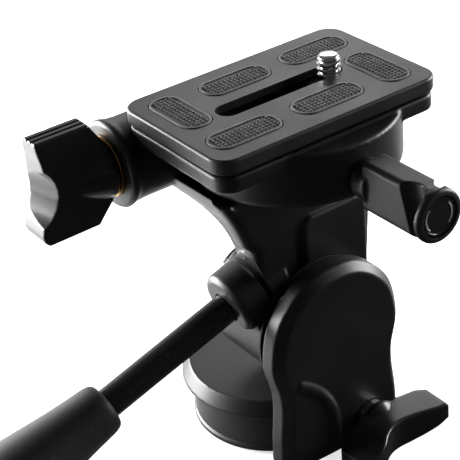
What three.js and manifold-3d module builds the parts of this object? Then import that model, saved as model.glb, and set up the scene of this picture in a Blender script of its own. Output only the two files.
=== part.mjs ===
import * as THREE from 'three';
import { mergeVertices } from 'three/addons/utils/BufferGeometryUtils.js';
import Module from 'manifold-3d';

// A three way pan tilt head with a quick release plate, in millimetres.
// Z is up from the mounting face, X runs along the tilt axis towards the arm, and the lens
// points along Y. The origin is the pan axis on the mounting face.

const wasm = await Module();
wasm.setup();

// Driving dimensions
const headHeight = 108;          // mounting face to the plate's top
const tiltAxisHeight = 40.5;
const plateCentreX = 13.5;       // the plate's centre from the pan axis
const clearance = 0.3;           // running gap between neighbouring pieces
const overrun = 1;               // how far a cut runs past the face that it opens
const fineRound = 48;            // sides of a large circle
const plainRound = 24;           // sides of a small circle
const smallRadius = 6;           // a circle up to this radius counts as small

// Finishes
function finish(color, roughness, metalness) {
  return new THREE.MeshStandardMaterial({ color, roughness, metalness });
}
const finishes = {
  casting: () => finish(0x1d1d1e, 0.5, 0.2),
  plate: () => finish(0x4a4742, 0.6, 0.1),
  plastic: () => finish(0x141414, 0.35, 0),
  rubber: () => finish(0x232321, 0.9, 0),
  steel: () => finish(0xb9bbbd, 0.3, 1),
  chrome: () => finish(0xd8d9da, 0.12, 1),
  brass: () => finish(0xb08d46, 0.3, 1),
  nylon: () => finish(0xd9d4c4, 0.6, 0),
};

// Turning a three.js geometry into a solid that can be cut and joined
function solid(geometry) {
  const bare = geometry.index ? geometry.toNonIndexed() : geometry.clone();
  bare.deleteAttribute('normal');
  bare.deleteAttribute('uv');
  const merged = mergeVertices(bare);
  const points = merged.attributes.position.array;
  const faces = [];
  let volume = 0;
  const a = new THREE.Vector3();
  const b = new THREE.Vector3();
  const c = new THREE.Vector3();
  for (let i = 0; i < merged.index.count; i += 3) {
    const face = [merged.index.getX(i), merged.index.getX(i + 1), merged.index.getX(i + 2)];
    if (new Set(face).size < face.length) continue;
    [a, b, c].forEach((point, corner) => point.fromArray(points, 3 * face[corner]));
    volume += a.dot(b.cross(c));
    faces.push(face);
  }
  const triVerts = new Uint32Array(faces.flatMap((face) => (volume < 0 ? face.reverse() : face)));
  const vertProperties = new Float32Array(points);
  return new wasm.Manifold(new wasm.Mesh({ numProp: 3, vertProperties, triVerts }));
}

function geometryOf(body) {
  const mesh = body.getMesh();
  const geometry = new THREE.BufferGeometry();
  geometry.setAttribute('position', new THREE.BufferAttribute(mesh.vertProperties, 3));
  geometry.setIndex(new THREE.BufferAttribute(mesh.triVerts, 1));
  geometry.computeVertexNormals();
  return geometry;
}

function joined(...bodies) {
  return bodies.reduce((whole, body) => whole.add(body));
}

function cut(body, ...tools) {
  return tools.reduce((rest, tool) => rest.subtract(tool), body);
}

// A body of revolution about an axis: points are [radius, place along the axis]
function turned(axis, points, at = [0, 0, 0]) {
  const widest = Math.max(...points.map(([radius]) => radius));
  const profile = points.map(([radius, along]) => new THREE.Vector2(radius, along));
  const geometry = new THREE.LatheGeometry(profile, widest > smallRadius ? fineRound : plainRound);
  if (axis === 'z') geometry.rotateX(Math.PI / 2);
  if (axis === 'x') geometry.rotateZ(-Math.PI / 2);
  geometry.translate(...at);
  return solid(geometry);
}

function rod(axis, radius, from, to, at) {
  return turned(axis, [[0, from], [radius, from], [radius, to], [0, to]], at);
}

function ring(axis, inner, outer, from, to, at) {
  return turned(axis, [[inner, from], [outer, from], [outer, to], [inner, to], [inner, from]], at);
}

// A rod whose far end is rounded off by a chamfer
function bossRod(axis, radius, from, to, chamfer, at) {
  const shoulder = to - chamfer;
  return turned(axis, [[0, from], [radius, from], [radius, shoulder], [radius - chamfer, to], [0, to]], at);
}

// An outline drawn in the two other axes, pushed along one axis. Outlines pushed along X are
// drawn in (y, z), along Y in (x, z) and along Z in (x, y).
function prism(axis, outline, from, to, bevel = 0) {
  const geometry = new THREE.ExtrudeGeometry(outline, {
    depth: to - from - 2 * bevel, curveSegments: 6, bevelEnabled: bevel > 0,
    bevelSize: bevel, bevelThickness: bevel, bevelOffset: -bevel, bevelSegments: 3,
  });
  geometry.translate(0, 0, bevel);
  const x = new THREE.Vector3(1, 0, 0);
  const y = new THREE.Vector3(0, 1, 0);
  const z = new THREE.Vector3(0, 0, 1);
  const frames = { x: [y, z, x], y: [x, z, y.clone().negate()], z: [x, y, z] };
  geometry.applyMatrix4(new THREE.Matrix4().makeBasis(...frames[axis]));
  geometry.translate(axis === 'x' ? from : 0, axis === 'y' ? to : 0, axis === 'z' ? from : 0);
  return solid(geometry);
}

function polygon(points) {
  return new THREE.Shape(points.map(([u, v]) => new THREE.Vector2(u, v)));
}

function rectangle(u0, v0, u1, v1) {
  return polygon([[u0, v0], [u1, v0], [u1, v1], [u0, v1]]);
}

function roundedRectangle(u0, v0, u1, v1, radius) {
  const shape = new THREE.Shape();
  shape.moveTo(u0 + radius, v0);
  shape.absarc(u1 - radius, v0 + radius, radius, -Math.PI / 2, 0);
  shape.absarc(u1 - radius, v1 - radius, radius, 0, Math.PI / 2);
  shape.absarc(u0 + radius, v1 - radius, radius, Math.PI / 2, Math.PI);
  shape.absarc(u0 + radius, v0 + radius, radius, Math.PI, 1.5 * Math.PI);
  return shape;
}

function hexagon(acrossFlats) {
  const corner = acrossFlats / Math.sqrt(3);
  const turns = [0, 1, 2, 3, 4, 5].map((step) => (step * Math.PI) / 3);
  return polygon(turns.map((turn) => [corner * Math.cos(turn), corner * Math.sin(turn)]));
}

function part(name, body, material, parent) {
  const mesh = new THREE.Mesh(geometryOf(body), material);
  mesh.name = name;
  parent.add(mesh);
  return mesh;
}

const head = new THREE.Group();

// Base: the fixed foot, its threaded bush and the screw that holds the pan bearing together
const base = {
  radius: 24, height: 13.2, chamfer: 0.8,
  bushRadius: 9.2, bushLength: 7.5, bushRecess: 0.2, threadRadius: 4.7,
  screwPocketRadius: 8.2, screwPocketHeight: 3, spigotRadius: 4.3, spigotLength: 2.5,
};
const bushTop = base.bushRecess + base.bushLength;
const pocketFloor = bushTop + clearance;
const webUnderside = pocketFloor + base.screwPocketHeight;
const bushPocketRadius = base.bushRadius + clearance;
const webHole = base.spigotRadius + clearance;

part('pan_base', turned('z', [
  [bushPocketRadius, 0],
  [base.radius - base.chamfer, 0],
  [base.radius, base.chamfer],
  [base.radius, base.height - base.chamfer],
  [base.radius - base.chamfer, base.height],
  [webHole, base.height],
  [webHole, webUnderside],
  [base.screwPocketRadius, webUnderside],
  [base.screwPocketRadius, pocketFloor],
  [bushPocketRadius, pocketFloor],
  [bushPocketRadius, 0],
]), finishes.casting(), head);

part('tripod_bush', turned('z', [
  [base.threadRadius, base.bushRecess + base.chamfer],
  [base.threadRadius + base.chamfer, base.bushRecess],
  [base.bushRadius, base.bushRecess],
  [base.bushRadius, bushTop],
  [base.threadRadius, bushTop],
  [base.threadRadius, base.bushRecess + base.chamfer],
]), finishes.steel(), head);

// Pan bearing
const discOverhang = 2.5;        // how far the disc stands out over the base
const disc = {
  radius: base.radius + discOverhang, faceRadius: base.radius,
  gapAboveBase: 0.4, thickness: 4.9, cone: 1.6, edge: 0.5,
  washerInner: 10, washerOuter: 20, washerThickness: 1, washerRecess: 1.2, faceSkin: 1.2,
};
const discUnderside = base.height + disc.gapAboveBase;
const discTop = discUnderside + disc.thickness;
const panScrew = {
  headRadius: 7, headHeight: 1.3, shankRadius: 3, washerThickness: 0.7, washerRadius: 7.7,
};
const panWasherTop = webUnderside - clearance;
const panHeadTop = panWasherTop - panScrew.washerThickness - clearance;
const panHeadBottom = panHeadTop - panScrew.headHeight;
const panThreadRadius = panScrew.shankRadius + clearance;
const panThreadTop = discTop - disc.faceSkin;

part('pan_screw_washer', ring('z', panThreadRadius, panScrew.washerRadius,
  panWasherTop - panScrew.washerThickness, panWasherTop), finishes.steel(), head);
part('pan_screw', joined(
  rod('z', panScrew.headRadius, panHeadBottom, panHeadTop),
  rod('z', panScrew.shankRadius, panHeadTop - overrun / 2, panThreadTop - clearance),
), finishes.steel(), head);
part('pan_friction_disc', ring('z', disc.washerInner, disc.washerOuter,
  base.height + clearance, base.height + clearance + disc.washerThickness), finishes.nylon(), head);

// Yoke: the pan disc and the arm beside it, one casting
const armGap = 0.5;              // between the arm and the base beside it
const arm = {
  inner: base.radius + armGap, thickness: 9, edge: 2.3, lobe: 21.6, waist: 19.4, foot: 20.8, bottom: 2.5,
  waistHeight: 26, footCorner: 3,
};
const armOuter = arm.inner + arm.thickness;
const axle = { radius: 4, seatDepth: 6.5, end: -7.6 };
const axleSeat = arm.inner + axle.seatDepth;
const panLock = {
  y: 9, z: 9.8, screwRadius: 2.5, shoeRadius: 2.2, shoeLength: 5.5, travel: 0.5, wingTurn: 0.07,
};

const armOutline = new THREE.Shape();
armOutline.moveTo(-arm.foot + arm.footCorner, arm.bottom);
armOutline.lineTo(arm.foot - arm.footCorner, arm.bottom);
armOutline.absarc(arm.foot - arm.footCorner, arm.bottom + arm.footCorner, arm.footCorner,
  -Math.PI / 2, 0);
armOutline.bezierCurveTo(arm.foot, base.height, arm.waist, discTop, arm.waist, arm.waistHeight);
const lobeStart = tiltAxisHeight - arm.lobe / 4;
const waistEnd = tiltAxisHeight - arm.lobe / 2;
armOutline.bezierCurveTo(arm.waist, waistEnd, arm.lobe, lobeStart, arm.lobe, tiltAxisHeight);
armOutline.absarc(0, tiltAxisHeight, arm.lobe, 0, Math.PI);
armOutline.bezierCurveTo(-arm.lobe, lobeStart, -arm.waist, waistEnd, -arm.waist, arm.waistHeight);
armOutline.bezierCurveTo(-arm.waist, discTop, -arm.foot, base.height, -arm.foot, arm.bottom + arm.footCorner);
armOutline.absarc(-arm.foot + arm.footCorner, arm.bottom + arm.footCorner, arm.footCorner,
  Math.PI, 1.5 * Math.PI);

const discBody = turned('z', [
  [0, panThreadTop],
  [panThreadRadius, panThreadTop],
  [panThreadRadius, discUnderside - base.spigotLength],
  [base.spigotRadius, discUnderside - base.spigotLength],
  [base.spigotRadius, discUnderside],
  [disc.washerInner - clearance, discUnderside],
  [disc.washerInner - clearance, discUnderside + disc.washerRecess],
  [disc.washerOuter + clearance, discUnderside + disc.washerRecess],
  [disc.washerOuter + clearance, discUnderside],
  [disc.radius - disc.edge, discUnderside],
  [disc.radius, discUnderside + disc.edge],
  [disc.radius, discTop - disc.cone],
  [disc.faceRadius, discTop],
  [0, discTop],
]);
part('pan_yoke', cut(
  joined(
    discBody,
    prism('x', armOutline, arm.inner, armOuter - arm.edge),
    prism('x', armOutline, arm.inner + arm.edge, armOuter, arm.edge),
  ),
  rod('x', axle.radius + clearance, arm.inner - overrun, axleSeat, [0, 0, tiltAxisHeight]),
  rod('x', panLock.screwRadius + clearance, arm.inner - overrun, armOuter + overrun,
    [0, panLock.y, panLock.z]),
), finishes.casting(), head);

// Release knob: a round bar along Z with flats on two sides and two finger scoops near its outer
// end, turned about the axis so that a web is left between them
const paddle = {
  radius: 7.1, length: 27, neckRadius: 6.2, neckLength: 2.5, chamfer: 0.8, flat: 5.4,
  scoopRadius: 6, scoopPlaceShare: 0.78, scoopTurn: -0.4, webThickness: 5.8,
  capRadius: 5.2, capDepth: 1.5, boreDepthShare: 0.6,
};

function paddleKnob(screwRadius) {
  const capSeat = paddle.length - paddle.capDepth;
  const shoulder = paddle.neckLength + paddle.radius - paddle.neckRadius;
  const hub = turned('z', [
    [0, 0],
    [paddle.neckRadius, 0],
    [paddle.neckRadius, paddle.neckLength],
    [paddle.radius, shoulder],
    [paddle.radius, paddle.length - paddle.chamfer],
    [paddle.radius - paddle.chamfer, paddle.length],
    [0, paddle.length],
  ]);
  const outside = paddle.radius + overrun;
  const flats = [-1, 1].map((side) => prism('z',
    rectangle(-outside, side * paddle.flat, outside, side * outside), shoulder, capSeat - paddle.capDepth));
  const scoops = [-1, 1].map((side) => rod('x', paddle.scoopRadius, -2 * outside, 2 * outside,
    [0, side * (paddle.webThickness / 2 + paddle.scoopRadius), capSeat * paddle.scoopPlaceShare])
    .rotate([0, 0, THREE.MathUtils.radToDeg(paddle.scoopTurn)]));
  return cut(hub, ...flats, ...scoops,
    rod('z', paddle.capRadius + clearance, capSeat, paddle.length + overrun),
    rod('z', screwRadius + clearance, -overrun, paddle.length * paddle.boreDepthShare));
}

function paddleCap() {
  return bossRod('z', paddle.capRadius, paddle.length - paddle.capDepth + clearance,
    paddle.length - clearance, clearance);
}

// Wing knob: a round neck along Z that widens into a flat wing along X. A hollow for the thumb
// parts its outer end into a short lobe on the +X side and a long one on the -X side.
const sideWing = {
  neckRadius: 8, neckLength: 0.8, shoulderLength: 3.4, halfWidth: 14.8, thickness: 8.8, round: 2.6,
  shortLobe: 19, longLobe: 22, hollow: 16.2, hollowWidth: 5, boreLength: 7,
};
const lockWing = {
  ...sideWing, neckRadius: 6.4, halfWidth: 16, shortLobe: 12.6, longLobe: 15, hollow: 10.4,
};
const insertRadius = 5.4;

function wingKnob(wing, boreRadius) {
  const shoulder = wing.neckLength + wing.shoulderLength;
  const inset = wing.halfWidth - wing.round;
  const side = new THREE.Shape();
  side.moveTo(-wing.neckRadius, 0);
  side.lineTo(wing.neckRadius, 0);
  side.lineTo(wing.neckRadius, wing.neckLength);
  side.lineTo(inset, shoulder - wing.round / 2);
  side.lineTo(wing.halfWidth, shoulder + wing.round / 2);
  side.lineTo(wing.halfWidth, wing.shortLobe - wing.round);
  side.quadraticCurveTo(wing.halfWidth, wing.shortLobe, inset, wing.shortLobe);
  side.bezierCurveTo(wing.hollowWidth, wing.shortLobe, wing.hollowWidth, wing.hollow, 0, wing.hollow);
  side.bezierCurveTo(-wing.hollowWidth, wing.hollow, -wing.hollowWidth, wing.longLobe, -inset, wing.longLobe);
  side.quadraticCurveTo(-wing.halfWidth, wing.longLobe, -wing.halfWidth, wing.longLobe - wing.round);
  side.lineTo(-wing.halfWidth, shoulder + wing.round / 2);
  side.lineTo(-inset, shoulder - wing.round / 2);
  side.lineTo(-wing.neckRadius, wing.neckLength);
  const halfThickness = wing.thickness / 2;
  const plan = roundedRectangle(-wing.halfWidth, -halfThickness, wing.halfWidth, halfThickness, wing.round);
  const flat = prism('y', side, -halfThickness, halfThickness).intersect(prism('z', plan, 0, wing.longLobe));
  const neckHub = turned('z', [
    [0, 0],
    [wing.neckRadius, 0],
    [wing.neckRadius, shoulder],
    [halfThickness, wing.hollow - shoulder],
    [0, wing.hollow - shoulder],
  ]);
  return cut(joined(flat, neckHub), rod('z', boreRadius, -overrun, wing.boreLength));
}

// Pan lock: its screw runs through the arm and pushes a nylon shoe against the base
const lockCollar = { outer: 5, length: 2.2 };
const lockScrewStart = arm.inner + panLock.shoeLength - overrun;
const lockCollarStart = armOuter + clearance;
const lockKnobStart = lockCollarStart + lockCollar.length + clearance;
const lockGroup = new THREE.Group();
lockGroup.position.set(0, panLock.y, panLock.z);
lockGroup.rotation.y = Math.PI / 2;
head.add(lockGroup);

const shoeBottom = panLock.y - panLock.shoeRadius;
const shoeTip = Math.sqrt(base.radius ** 2 - shoeBottom ** 2) + clearance;
part('pan_lock_shoe', rod('z', panLock.shoeRadius, shoeTip, lockScrewStart - clearance - panLock.travel),
  finishes.nylon(), lockGroup);
part('pan_lock_screw', rod('z', panLock.screwRadius, lockScrewStart,
  lockKnobStart + lockWing.boreLength - clearance), finishes.steel(), lockGroup);
part('pan_lock_collar', ring('z', panLock.screwRadius + clearance, lockCollar.outer,
  lockCollarStart, lockCollarStart + lockCollar.length), finishes.chrome(), lockGroup);
const lockKnob = part('pan_lock_knob', wingKnob(lockWing, panLock.screwRadius + clearance),
  finishes.plastic(), lockGroup);
lockKnob.position.z = lockKnobStart;
lockKnob.rotation.z = Math.PI / 2 + panLock.wingTurn;

// Tilt bearing: a drum held on the arm by an axle, which the tilt body clamps
const tilt = new THREE.Group();
tilt.position.z = tiltAxisHeight;
head.add(tilt);

const drum = { radius: 12.6, liner: 0.8, wall: 4, endWall: 2.7, sleeveEnd: -1.5 };
const linerInner = drum.radius + clearance;
const linerOuter = linerInner + drum.liner;
const sleeveBore = linerOuter + clearance;
const sleeveRadius = sleeveBore + drum.wall;
const sleeveFloor = drum.sleeveEnd + drum.endWall;
const drumEnd = arm.inner - clearance;
const washerStack = { thickness: 1.2, radius: 9.5, nutLength: 3.6, nutAcross: 12.4 };
const sleeveFace = { washerInner: 15, washerOuter: 20.3, washerThickness: 0.6 };
const bodyFace = arm.inner - 2 * clearance - sleeveFace.washerThickness;

part('tilt_axle', rod('x', axle.radius, axle.end, axleSeat - clearance), finishes.steel(), tilt);
part('tilt_drum', ring('x', axle.radius + clearance, drum.radius, sleeveFloor + clearance, drumEnd),
  finishes.steel(), tilt);
part('tilt_liner', ring('x', linerInner, linerOuter, sleeveFloor + clearance, bodyFace),
  finishes.nylon(), tilt);
part('tilt_friction_washer', ring('x', sleeveFace.washerInner, sleeveFace.washerOuter,
  bodyFace + clearance, bodyFace + clearance + sleeveFace.washerThickness), finishes.nylon(), tilt);
const washerEnd = drum.sleeveEnd - clearance;
part('tilt_washer', ring('x', axle.radius + clearance, washerStack.radius,
  washerEnd - washerStack.thickness, washerEnd), finishes.steel(), tilt);
const nutEnd = washerEnd - washerStack.thickness - clearance;
part('tilt_nut', cut(
  prism('x', hexagon(washerStack.nutAcross), nutEnd - washerStack.nutLength, nutEnd),
  rod('x', axle.radius + clearance, nutEnd - washerStack.nutLength - overrun, nutEnd + overrun),
), finishes.steel(), tilt);

const endCap = { outer: 11.6, wall: 1.5, room: 0.6, edge: 1 };
const capInside = Math.min(axle.end, nutEnd - washerStack.nutLength) - endCap.room;
const capOutside = capInside - endCap.wall;
part('tilt_end_cap', turned('x', [
  [0, capInside],
  [endCap.outer - endCap.wall, capInside],
  [endCap.outer - endCap.wall, washerEnd],
  [endCap.outer, washerEnd],
  [endCap.outer, capOutside + endCap.edge],
  [endCap.outer - endCap.edge, capOutside],
  [0, capOutside],
]), finishes.plastic(), tilt);

// Tilt body: a split sleeve round the drum, the neck above it and the side tilt barrel
const plateZ = headHeight - tiltAxisHeight;      // the plate's top above the tilt axis
const cup = { radius: 28.4, centreY: 3.5, rim: 5.7, rimEdge: 0.6, depth: 21, edge: 2 };
const sideAxis = { x: -24.5, z: -16.7 };         // from the plate's centre, its top
const barrel = {
  radius: 9.9, rear: -39.2, front: 7.7, flange: 12, flangeLength: 1.6, flangeEdge: 1, flare: 2.2,
};
const barrelX = plateCentreX + sideAxis.x;
const barrelZ = plateZ + sideAxis.z;
const neck = {
  side: 14.3, core: 5.5, round: 3, halfWidth: 20.3, faceStep: 1.4, gapUnderCup: 1, roundTop: 4,
  ledgeHeight: 30, ledgeY: -19.4, belowLedgeY: -17.4, midHeight: 39, midY: -22, topY: -25.4,
  coreBack: -9, padBack: -2.4, padInset: 1.4, padTop: 33.5, padCorner: 3,
};
const neckTop = plateZ - cup.depth - neck.gapUnderCup;
const neckFace = bodyFace - neck.faceStep;
const handle = {
  x: 14.3, y: -15, z: 13.7, drop: 0.295,
  bossRadius: 9.4, bossLength: 8.6, bossChamfer: 1.4, bossFlat: 5.2,
  slot: 1.6, slotDown: 11.5, slotUp: 6,
  studRadius: 3.3, studReach: 10, shoulder: 1.8, rodRadius: 4.15,
  gripStart: 50, gripLength: 90, tangReach: 80,
};
const down = new THREE.Vector2(Math.cos(handle.drop), Math.sin(handle.drop));

// Places a body built along the handle's own axis, its Z, into the tilt body's frame
function alongHandle(body) {
  const place = new THREE.Matrix4().makeRotationX(Math.PI / 2 + handle.drop);
  place.setPosition(handle.x, handle.y, handle.z);
  return body.transform(place.elements);
}

const neckSide = new THREE.Shape();
neckSide.moveTo(neck.halfWidth, 0);
neckSide.lineTo(neck.halfWidth, neckTop - neck.roundTop);
neckSide.absarc(neck.halfWidth - neck.roundTop, neckTop - neck.roundTop, neck.roundTop, 0, Math.PI / 2);
neckSide.lineTo(neck.topY, neckTop);
neckSide.lineTo(neck.midY, neck.midHeight);
neckSide.lineTo(neck.ledgeY, neck.ledgeHeight);
neckSide.lineTo(neck.belowLedgeY, handle.z + handle.bossRadius);
neckSide.lineTo(-sleeveBore, 0);

const neckPlan = polygon([
  [neckFace, neck.coreBack],
  [neck.core, neck.coreBack],
  [neck.core, neck.halfWidth + overrun],
  [neckFace, neck.halfWidth + overrun],
]);
const padOutline = roundedRectangle(neck.padBack, 0, neck.halfWidth - neck.padInset, neck.padTop,
  neck.padCorner);
const neckBody = joined(
  prism('x', neckSide, neck.side, neckFace, neck.round),
  prism('x', neckSide, neck.core, neckFace - neck.round).intersect(prism('z', neckPlan, 0, neckTop)),
  prism('x', padOutline, neckFace - overrun, bodyFace),
);

// The goose neck runs from the neck's top over to the barrel. Its outline is drawn twice, seen
// from the front and from the side, and the body is what the two have in common.
const goose = {
  tipOutShare: 0.8, tipDownShare: 0.5,             // where it leaves the barrel, in barrel radii
  archHeight: 35, archReach: 6, footHeight: 21,
  topY: -22.5, shoulderY: -21, shoulderDrop: 4, hollowY: -16, hollowDrop: 9, footY: -10, sideFoot: 20,
  front: 7.3,
};
const gooseFront = new THREE.Shape();
gooseFront.moveTo(neckFace - overrun, neckTop);
gooseFront.lineTo(barrelX, neckTop);
gooseFront.lineTo(barrelX - barrel.radius * goose.tipOutShare, barrelZ - barrel.radius * goose.tipDownShare);
gooseFront.bezierCurveTo(barrelX - barrel.radius * goose.tipDownShare, goose.archHeight,
  neck.core - goose.archReach, goose.archHeight, neck.core, goose.footHeight);
gooseFront.lineTo(neckFace - overrun, goose.footHeight);

const gooseSide = new THREE.Shape();
gooseSide.moveTo(goose.front, neckTop + overrun);
gooseSide.lineTo(goose.topY, neckTop + overrun);
gooseSide.bezierCurveTo(goose.shoulderY, neckTop - goose.shoulderDrop,
  goose.hollowY, neckTop - goose.hollowDrop, goose.footY, goose.sideFoot);
gooseSide.lineTo(goose.front, goose.sideFoot);
const gooseBody = prism('y', gooseFront, barrel.rear, neck.halfWidth)
  .intersect(prism('x', gooseSide, 2 * barrelX - neckFace, neckFace));

const ear = { front: -19.1, top: 9, corner: 7.2, footY: -12.9, foot: -7.6, inner: -4, step: 2 };
const earOutline = polygon([
  [ear.front, ear.top],
  [ear.front, ear.corner],
  [ear.footY, ear.foot],
  [-sleeveBore, ear.inner],
  [-sleeveBore, ear.top],
]);
const bossSide = 2 * handle.bossRadius;
const boss = alongHandle(cut(
  bossRod('z', handle.bossRadius, 0, handle.bossLength, handle.bossChamfer),
  prism('z', rectangle(-bossSide, -bossSide, bossSide, -handle.bossFlat), overrun, handle.bossLength + overrun),
));
const sleeveSolid = ring('x', sleeveBore, sleeveRadius, drum.sleeveEnd, bodyFace);
const sleeveWall = ring('x', axle.radius + clearance, sleeveBore + overrun, drum.sleeveEnd, sleeveFloor);
const barrelBody = joined(
  rod('y', barrel.radius, barrel.rear, barrel.front, [barrelX, 0, barrelZ]),
  turned('y', [
    [0, barrel.rear],
    [barrel.flange - barrel.flangeEdge, barrel.rear],
    [barrel.flange, barrel.rear + barrel.flangeEdge],
    [barrel.flange, barrel.rear + barrel.flangeLength],
    [barrel.radius, barrel.rear + barrel.flangeLength + barrel.flare],
    [0, barrel.rear + barrel.flangeLength + barrel.flare],
  ], [barrelX, 0, barrelZ]),
);
const sideShaft = { radius: 4, headRadius: 7, headLength: 2.4 };
const sideBore = sideShaft.radius + clearance;
const rodBore = handle.rodRadius + clearance;

const slotOutline = rectangle(-sleeveRadius, -handle.slotDown,
  sleeveRadius, handle.bossRadius + handle.slotUp);
const tiltBody = cut(
  joined(neckBody, gooseBody, barrelBody, sleeveSolid, sleeveWall, boss,
    prism('x', earOutline, neck.side + ear.step, neckFace)),
  rod('x', sleeveBore, sleeveFloor, arm.inner),
  alongHandle(prism('z', slotOutline, -handle.slot, 0)),
  rod('x', 3 * sleeveRadius, bodyFace, arm.inner),
  alongHandle(rod('z', rodBore, handle.shoulder - clearance, handle.bossLength + overrun)),
  alongHandle(rod('z', handle.studRadius + clearance, -handle.studReach - 2 * overrun, handle.shoulder)),
  rod('y', sideBore, barrel.rear - overrun, barrel.front + overrun, [barrelX, 0, barrelZ]),
);
part('tilt_body', tiltBody, finishes.casting(), tilt);

// Handle: a steel rod screwed into the neck, with a flared rubber grip
const handleGroup = new THREE.Group();
handleGroup.position.set(handle.x, handle.y, handle.z);
handleGroup.rotation.x = Math.PI / 2 + handle.drop;
tilt.add(handleGroup);

part('handle_rod', joined(
  rod('z', handle.studRadius, -handle.studReach, handle.shoulder + overrun),
  rod('z', handle.rodRadius, handle.shoulder, handle.gripStart + handle.tangReach),
), finishes.steel(), handleGroup);

const gripShares = [
  [0, 0.52], [0.02, 0.58], [0.12, 0.62], [0.25, 0.74], [0.38, 0.88],
  [0.55, 0.99], [0.72, 1], [0.88, 0.92], [1, 0.84],
];
const grip = { radius: 12.6, bore: rodBore, capLength: 4.5, capRadius: 10.4 };
const gripEnd = handle.gripStart + handle.gripLength;
part('handle_grip', turned('z', [
  [grip.bore, handle.gripStart],
  ...gripShares.map(([along, wide]) => [grip.radius * wide, handle.gripStart + handle.gripLength * along]),
  [grip.bore, gripEnd],
  [grip.bore, handle.gripStart],
]), finishes.rubber(), handleGroup);
const plugStart = handle.gripStart + handle.tangReach + clearance;
const capShares = [[1, 0], [0.9, 0.5], [0.5, 1], [0, 1]];
part('grip_end_cap', turned('z', [
  [0, plugStart],
  [handle.rodRadius, plugStart],
  [handle.rodRadius, gripEnd + clearance],
  ...capShares.map(([wide, along]) => [grip.capRadius * wide, gripEnd + clearance + grip.capLength * along]),
]), finishes.plastic(), handleGroup);

// Side tilt lock: a shaft through the barrel, a brass ring and a wing knob
const sideGroup = new THREE.Group();
sideGroup.position.set(barrelX, 0, barrelZ);
tilt.add(sideGroup);
const brass = { outer: 8.3, length: 1.5 };
const sideWingTurn = 1.62;
const brassRear = barrel.rear - clearance - brass.length;
const knobFront = brassRear - clearance;
const hub = { radius: 9.9, front: 20.3 };
const shaftRear = knobFront - sideWing.boreLength + clearance;
const shaftHead = hub.front + clearance;
part('side_tilt_ring', ring('y', sideBore, brass.outer, brassRear, barrel.rear - clearance),
  finishes.brass(), sideGroup);
part('side_tilt_shaft', joined(
  rod('y', sideShaft.radius, shaftRear, shaftHead + overrun),
  bossRod('y', sideShaft.headRadius, shaftHead, shaftHead + sideShaft.headLength, clearance),
), finishes.steel(), sideGroup);
part('side_tilt_insert', ring('y', sideBore, insertRadius, shaftRear, knobFront - clearance),
  finishes.brass(), sideGroup);
const sideKnob = part('side_tilt_knob', wingKnob(sideWing, insertRadius + clearance),
  finishes.plastic(), sideGroup);
sideKnob.position.y = knobFront;
sideKnob.rotation.x = Math.PI / 2;
sideKnob.rotation.z = sideWingTurn;

// Everything from here on is drawn from the plate's centre, with Z = 0 at the plate's top
const top = new THREE.Group();
top.position.set(plateCentreX, 0, plateZ);
tilt.add(top);

// Quick release plate with its dovetail, slot and six inset pads
const plate = { length: 70, width: 45, thickness: 4.2, corner: 5.5, bevel: 0.8, web: 2.2 };
const tenon = { top: 11.5, bottom: 13.5, depth: 8.9, length: 54 };
const slot = { width: 7, rear: -19.9, front: 19.6, channel: 14.6 };
const pad = { length: 20.6, width: 9, recess: 0.9, proud: 0.35, corner: 4.1 };
const endPad = { x: 7.5, y: 26 };
const sidePad = { x: 12.5, near: 5.2, far: 20.7 };
const pads = [
  ['pad_rear_end', -endPad.x, -endPad.y, true],
  ['pad_front_end', endPad.x, endPad.y, true],
  ['pad_left_rear', -sidePad.x, -sidePad.near, false],
  ['pad_left_front', -sidePad.x, sidePad.far, false],
  ['pad_right_rear', sidePad.x, -sidePad.far, false],
  ['pad_right_front', sidePad.x, sidePad.near, false],
];

function padOutlineAt([, x, y, across], grow) {
  const halfX = (across ? pad.length : pad.width) / 2 + grow;
  const halfY = (across ? pad.width : pad.length) / 2 + grow;
  return roundedRectangle(x - halfX, y - halfY, x + halfX, y + halfY, pad.corner + grow);
}

const plateOutline = roundedRectangle(-plate.width / 2, -plate.length / 2,
  plate.width / 2, plate.length / 2, plate.corner);
const tenonOutline = polygon([
  [-tenon.top, -plate.thickness + overrun / 2],
  [-tenon.top, -plate.thickness],
  [-tenon.bottom, -tenon.depth],
  [tenon.bottom, -tenon.depth],
  [tenon.top, -plate.thickness],
  [tenon.top, -plate.thickness + overrun / 2],
]);
part('quick_plate', cut(
  joined(
    prism('z', plateOutline, -plate.thickness, 0, plate.bevel),
    prism('y', tenonOutline, -tenon.length / 2, tenon.length / 2),
  ),
  ...pads.map((place) => prism('z', padOutlineAt(place, clearance), -pad.recess, overrun)),
  prism('z', roundedRectangle(-slot.width / 2, slot.rear, slot.width / 2, slot.front, slot.width / 2),
    -plate.thickness - overrun, overrun),
  prism('z', roundedRectangle(-slot.channel / 2, slot.rear - slot.width / 2, slot.channel / 2,
    slot.front + slot.width / 2, slot.channel / 2), -tenon.depth - overrun, -plate.web),
), finishes.plate(), top);
pads.forEach((place) => {
  const body = prism('z', padOutlineAt(place, 0), -pad.recess + clearance, pad.proud);
  part(place[0], body, finishes.rubber(), top);
});

// Camera screw and the clip that keeps it in the slot
const screw = { radius: 3.15, rise: 4.6, chamfer: 0.7, headRadius: 6.6, headHeight: 3.2, y: 16 };
const screwHeadTop = -plate.web - clearance;
const clip = { outer: 6.2, thickness: 0.8 };
const clipTop = screwHeadTop - screw.headHeight - clearance;
part('camera_screw', joined(
  bossRod('z', screw.radius, clipTop - clip.thickness, screw.rise, screw.chamfer),
  rod('z', screw.headRadius, screwHeadTop - screw.headHeight, screwHeadTop),
), finishes.chrome(), top).position.y = screw.y;
part('camera_screw_clip', ring('z', screw.radius + clearance, clip.outer, clipTop - clip.thickness, clipTop),
  finishes.steel(), top).position.y = screw.y;

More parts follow.
